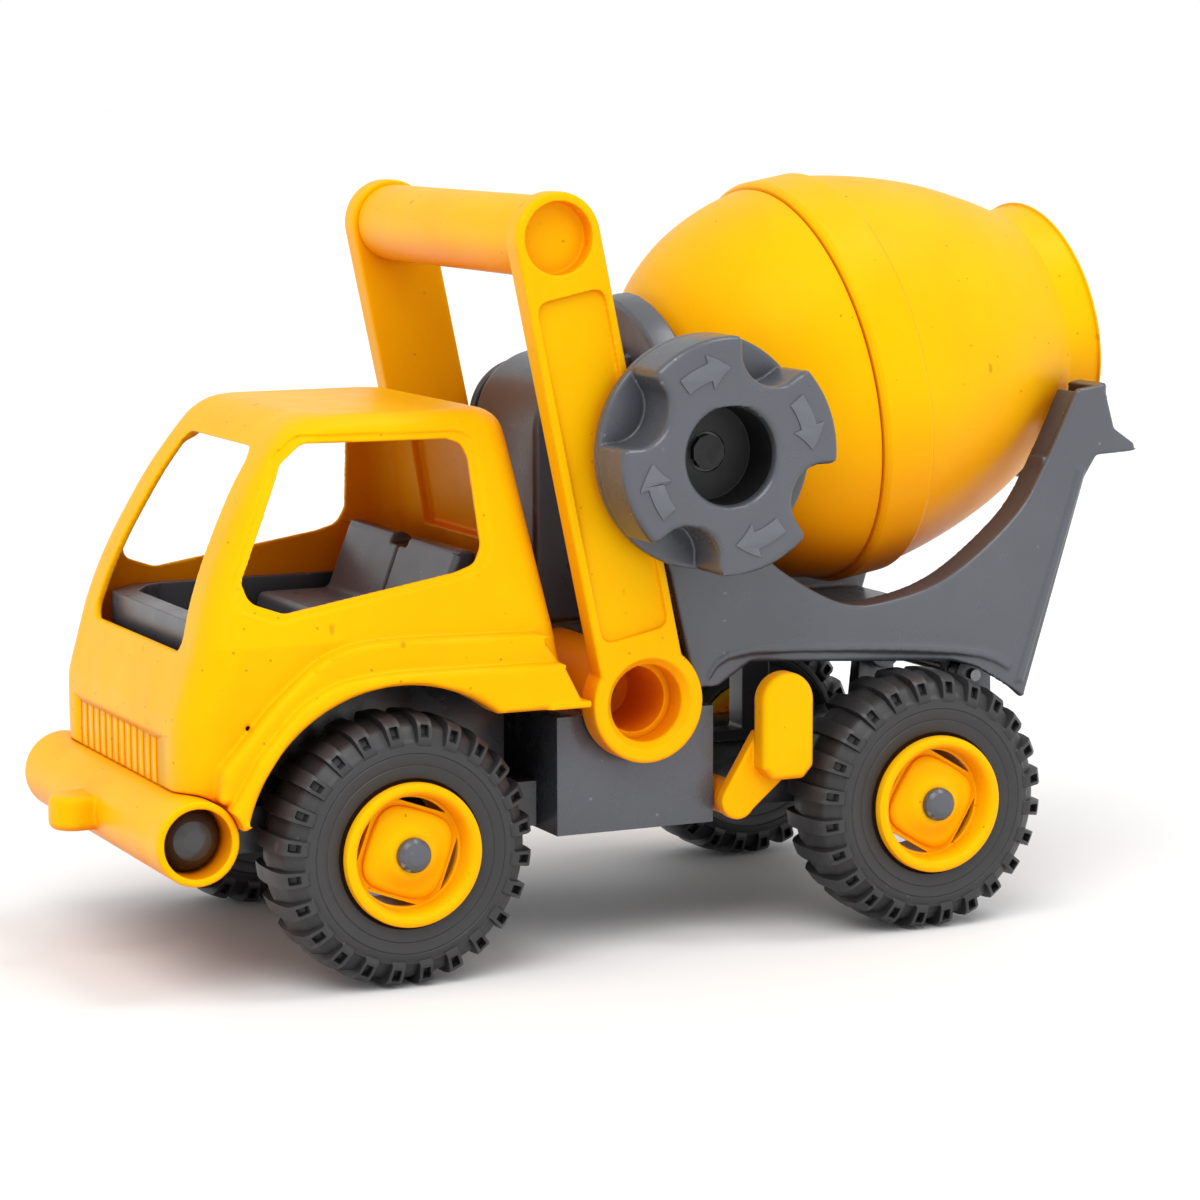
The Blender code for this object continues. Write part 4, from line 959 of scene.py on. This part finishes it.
def knob():
    """A lobed grip with four finger scallops before a round back plate, arrows on its lobes."""
    place_at = axis_frame(CRANK_X, 0, CRANK_Z, -1)
    turns = [2 * math.pi * i / 240 for i in range(240)]
    outline = [(knob_radius(a) * math.cos(a), knob_radius(a) * math.sin(a)) for a in turns]
    bore = ring(0, 0, 15.2, 96)
    grip = bevel(plate(outline, KNOB_BACK_Y + 3.4, KNOB_FACE_Y, "XY", place_at, [bore]), 2.1, 5, 50)
    back = bevel(rod((0, 0, KNOB_BACK_Y), (0, 0, KNOB_BACK_Y + 4.2), KNOB_RADIUS - 0.15, segments=128,
                     matrix=place_at), 1.0, 3, 50)
    neck = rod((0, 0, PANEL_OUTER_Y + 0.8), (0, 0, KNOB_BACK_Y + 1), 11, matrix=place_at)
    piece = mould(merge(grip, back, neck), 0.38, 4, 0.4)
    cut(piece, rod((0, 0, 50), (0, 0, KNOB_BACK_Y + 20), 3.9, matrix=place_at))
    dress(piece, "knob_body", GRAY, "crank", "gray_plastic", "crank_knob")
    # Painted shade: a near-black cup lines the bore so that it looks as dark as its shade.
    well = [(15.45, KNOB_FACE_Y - 3.2), (15.45, KNOB_BACK_Y + 4), (6.2, KNOB_BACK_Y + 4),
            (6.2, KNOB_BACK_Y + 4.8), (14.9, KNOB_BACK_Y + 4.8), (15.1, KNOB_FACE_Y - 3.2)]
    dress(turned(well, place_at, 0.3), "knob_bore_painted_shade", PAINTED_SHADE_GRAY, "crank", "gray_plastic", sharp=40)
    arrow = [(-8.2, -2.7), (1.4, -2.7), (1.4, -5.6), (8.6, 0), (1.4, 5.6), (1.4, 2.7), (-8.2, 2.7)]
    marks = []
    for scallop in SCALLOPS:
        middle = scallop + math.pi / 4
        shape = []
        for (along, out), (next_along, next_out) in zip(arrow, arrow[1:] + arrow[:1]):
            for i in range(6):
                s, w = along + (next_along - along) * i / 6, out + (next_out - out) * i / 6
                angle = middle - s / 27.2
                shape.append(((27.2 + w) * math.cos(angle), (27.2 + w) * math.sin(angle)))
        marks.append(bevel(plate(shape, KNOB_FACE_Y - 0.4, KNOB_FACE_Y + 0.55, "XY", place_at), 0.25, 2, 50))
    dress(merge(*marks), "knob_arrows", GRAY_RAISED, "crank", "gray_plastic", sharp=40)


# ---------------------------------------------------------------- tip lever

def lever():
    """The round-topped tab with its arm down to the hub on the lever's shaft."""
    outline = [(122.2, 57), (125.8, 53), (136.8, 53), (140.4, 57)] + arc(131.3, 78.3, 9.1, 0, 180, 40)
    tab = bevel(plate(rounded(outline, 2), -74, -65.5), 2.2, 5, 50)
    web = arc(LEVER_X, LEVER_Z, 6, 150, 330, 24) + [(137, 55), (137, 68), (124, 68)]
    arm = bevel(plate(web, -66, -61), 0.8)
    hub = rod((LEVER_X, -62, LEVER_Z), (LEVER_X, -44.8, LEVER_Z), 5.6)
    piece = mould(merge(tab, arm, hub), 0.35, 5, 0.5)
    cut(piece, rod((LEVER_X, -64, LEVER_Z), (LEVER_X, -40, LEVER_Z), 3.06))
    dress(piece, "tip_tab", YELLOW, "tip_lever", "yellow_plastic", "tip_lever")


# ---------------------------------------------------------------- stage

def floor():
    s = Shader("pale_floor")
    clouds = s.ramp(s.noise(3, 2), 0.3, 0.7)
    s.set(base_color=s.mix(clouds, (0.9, 0.9, 0.9), (0.92, 0.92, 0.92)), roughness=0.7)
    bpy.ops.mesh.primitive_plane_add(size=40, location=(0, 0, 0))
    plane = bpy.context.object
    plane.name = "floor"
    plane.data.materials.append(s.material)


def sun(name, turn, lift, angle, strength, colour=(1, 1, 1)):
    """A soft light from far away: turn is its compass angle from +X, lift its height in degrees."""
    light = bpy.data.lights.new(name, "SUN")
    light.angle = math.radians(angle)
    light.energy = strength
    light.color = colour
    item = bpy.data.objects.new(name, light)
    bpy.context.scene.collection.objects.link(item)
    turn, lift = math.radians(turn), math.radians(lift)
    towards = Vector((math.cos(turn) * math.cos(lift), math.sin(turn) * math.cos(lift), math.sin(lift)))
    item.rotation_euler = towards.to_track_quat("Z", "Y").to_euler()


def studio():
    """White walls at the horizon, a dimmer ceiling, and three soft lights."""
    world = bpy.data.worlds.new("studio")
    world.use_nodes = True
    tree = world.node_tree
    where = tree.nodes.new("ShaderNodeTexCoord")
    split = tree.nodes.new("ShaderNodeSeparateXYZ")
    tree.links.new(where.outputs["Generated"], split.inputs["Vector"])
    fade = tree.nodes.new("ShaderNodeMapRange")
    fade.interpolation_type = "SMOOTHSTEP"
    for name, value in (("From Min", 0.04), ("From Max", 0.3), ("To Min", 1.0), ("To Max", CEILING)):
        fade.inputs[name].default_value = value
    tree.links.new(split.outputs["Z"], fade.inputs["Value"])
    tree.links.new(fade.outputs["Result"], tree.nodes["Background"].inputs["Strength"])
    tree.nodes["Background"].inputs["Color"].default_value = (1, 1, 1, 1)
    bpy.context.scene.world = world
    sun("key", 230, 52, 40, 1.4)
    sun("top", 338, 66, 20, 0.6)
    sun("fill", 300, 35, 70, 0.4)
    bpy.context.scene.view_settings.view_transform = "Standard"


CEILING = 0.7
YAW, PITCH, ROLL = 0.43727, 0.14121, -0.00277
LENS = 113.29


def camera():
    """A long lens from the truck's front left, a little above it."""
    forward = Vector((math.sin(YAW) * math.cos(PITCH), math.cos(YAW) * math.cos(PITCH), -math.sin(PITCH)))
    level = Vector((math.cos(YAW), -math.sin(YAW), 0))
    upward = level.cross(forward)
    right = level * math.cos(ROLL) + upward * math.sin(ROLL)
    up = upward * math.cos(ROLL) - level * math.sin(ROLL)
    data = bpy.data.cameras.new("camera")
    data.lens = LENS
    data.sensor_width = 36
    data.clip_end = 100
    item = bpy.data.objects.new("camera", data)
    bpy.context.scene.collection.objects.link(item)
    item.matrix_world = Matrix(((right.x, up.x, -forward.x, 0), (right.y, up.y, -forward.y, 0),
                                (right.z, up.z, -forward.z, 0), (0, 0, 0, 1)))
    item.location = SHIFT + Vector((-421.86, -1115.62, 278.40)) * MM
    bpy.context.scene.camera = item


# ---------------------------------------------------------------- assembly

cab()
cabin()
bumper()
handle()
chassis()
for axle_name, axle_x in AXLES:
    for side_name, side_sign in SIDES:
        tyre(side_name, axle_name, axle_x, side_sign)
        rim(side_name, axle_name, axle_x, side_sign)
        axle_end(side_name, axle_name, axle_x, side_sign)
cradle()
housing()
drum()
knob()
lever()
for kept_node in ("pinion_gear", "lift_arm", "shaft_bush"):
    frame["nodes"][kept_node].material_slots[0].material = GRAY
# Painted shade: the screw far inside the knob's bore takes the near-black gray.
frame["nodes"]["knob_screw"].material_slots[0].material = PAINTED_SHADE_GRAY
for kept_node in ("front_axle", "rear_axle", "hinge_pin", "crank_shaft", "lever_shaft", "drum_stub_pin",
                  "handle_screw_left", "handle_screw_right", "cab_screw_1", "cab_screw_2", "cab_screw_3",
                  "cab_screw_4"):
    frame["nodes"][kept_node].material_slots[0].material = STEEL
for leftover in list(CUTTERS.objects):
    bpy.data.objects.remove(leftover)
floor()
studio()
camera()
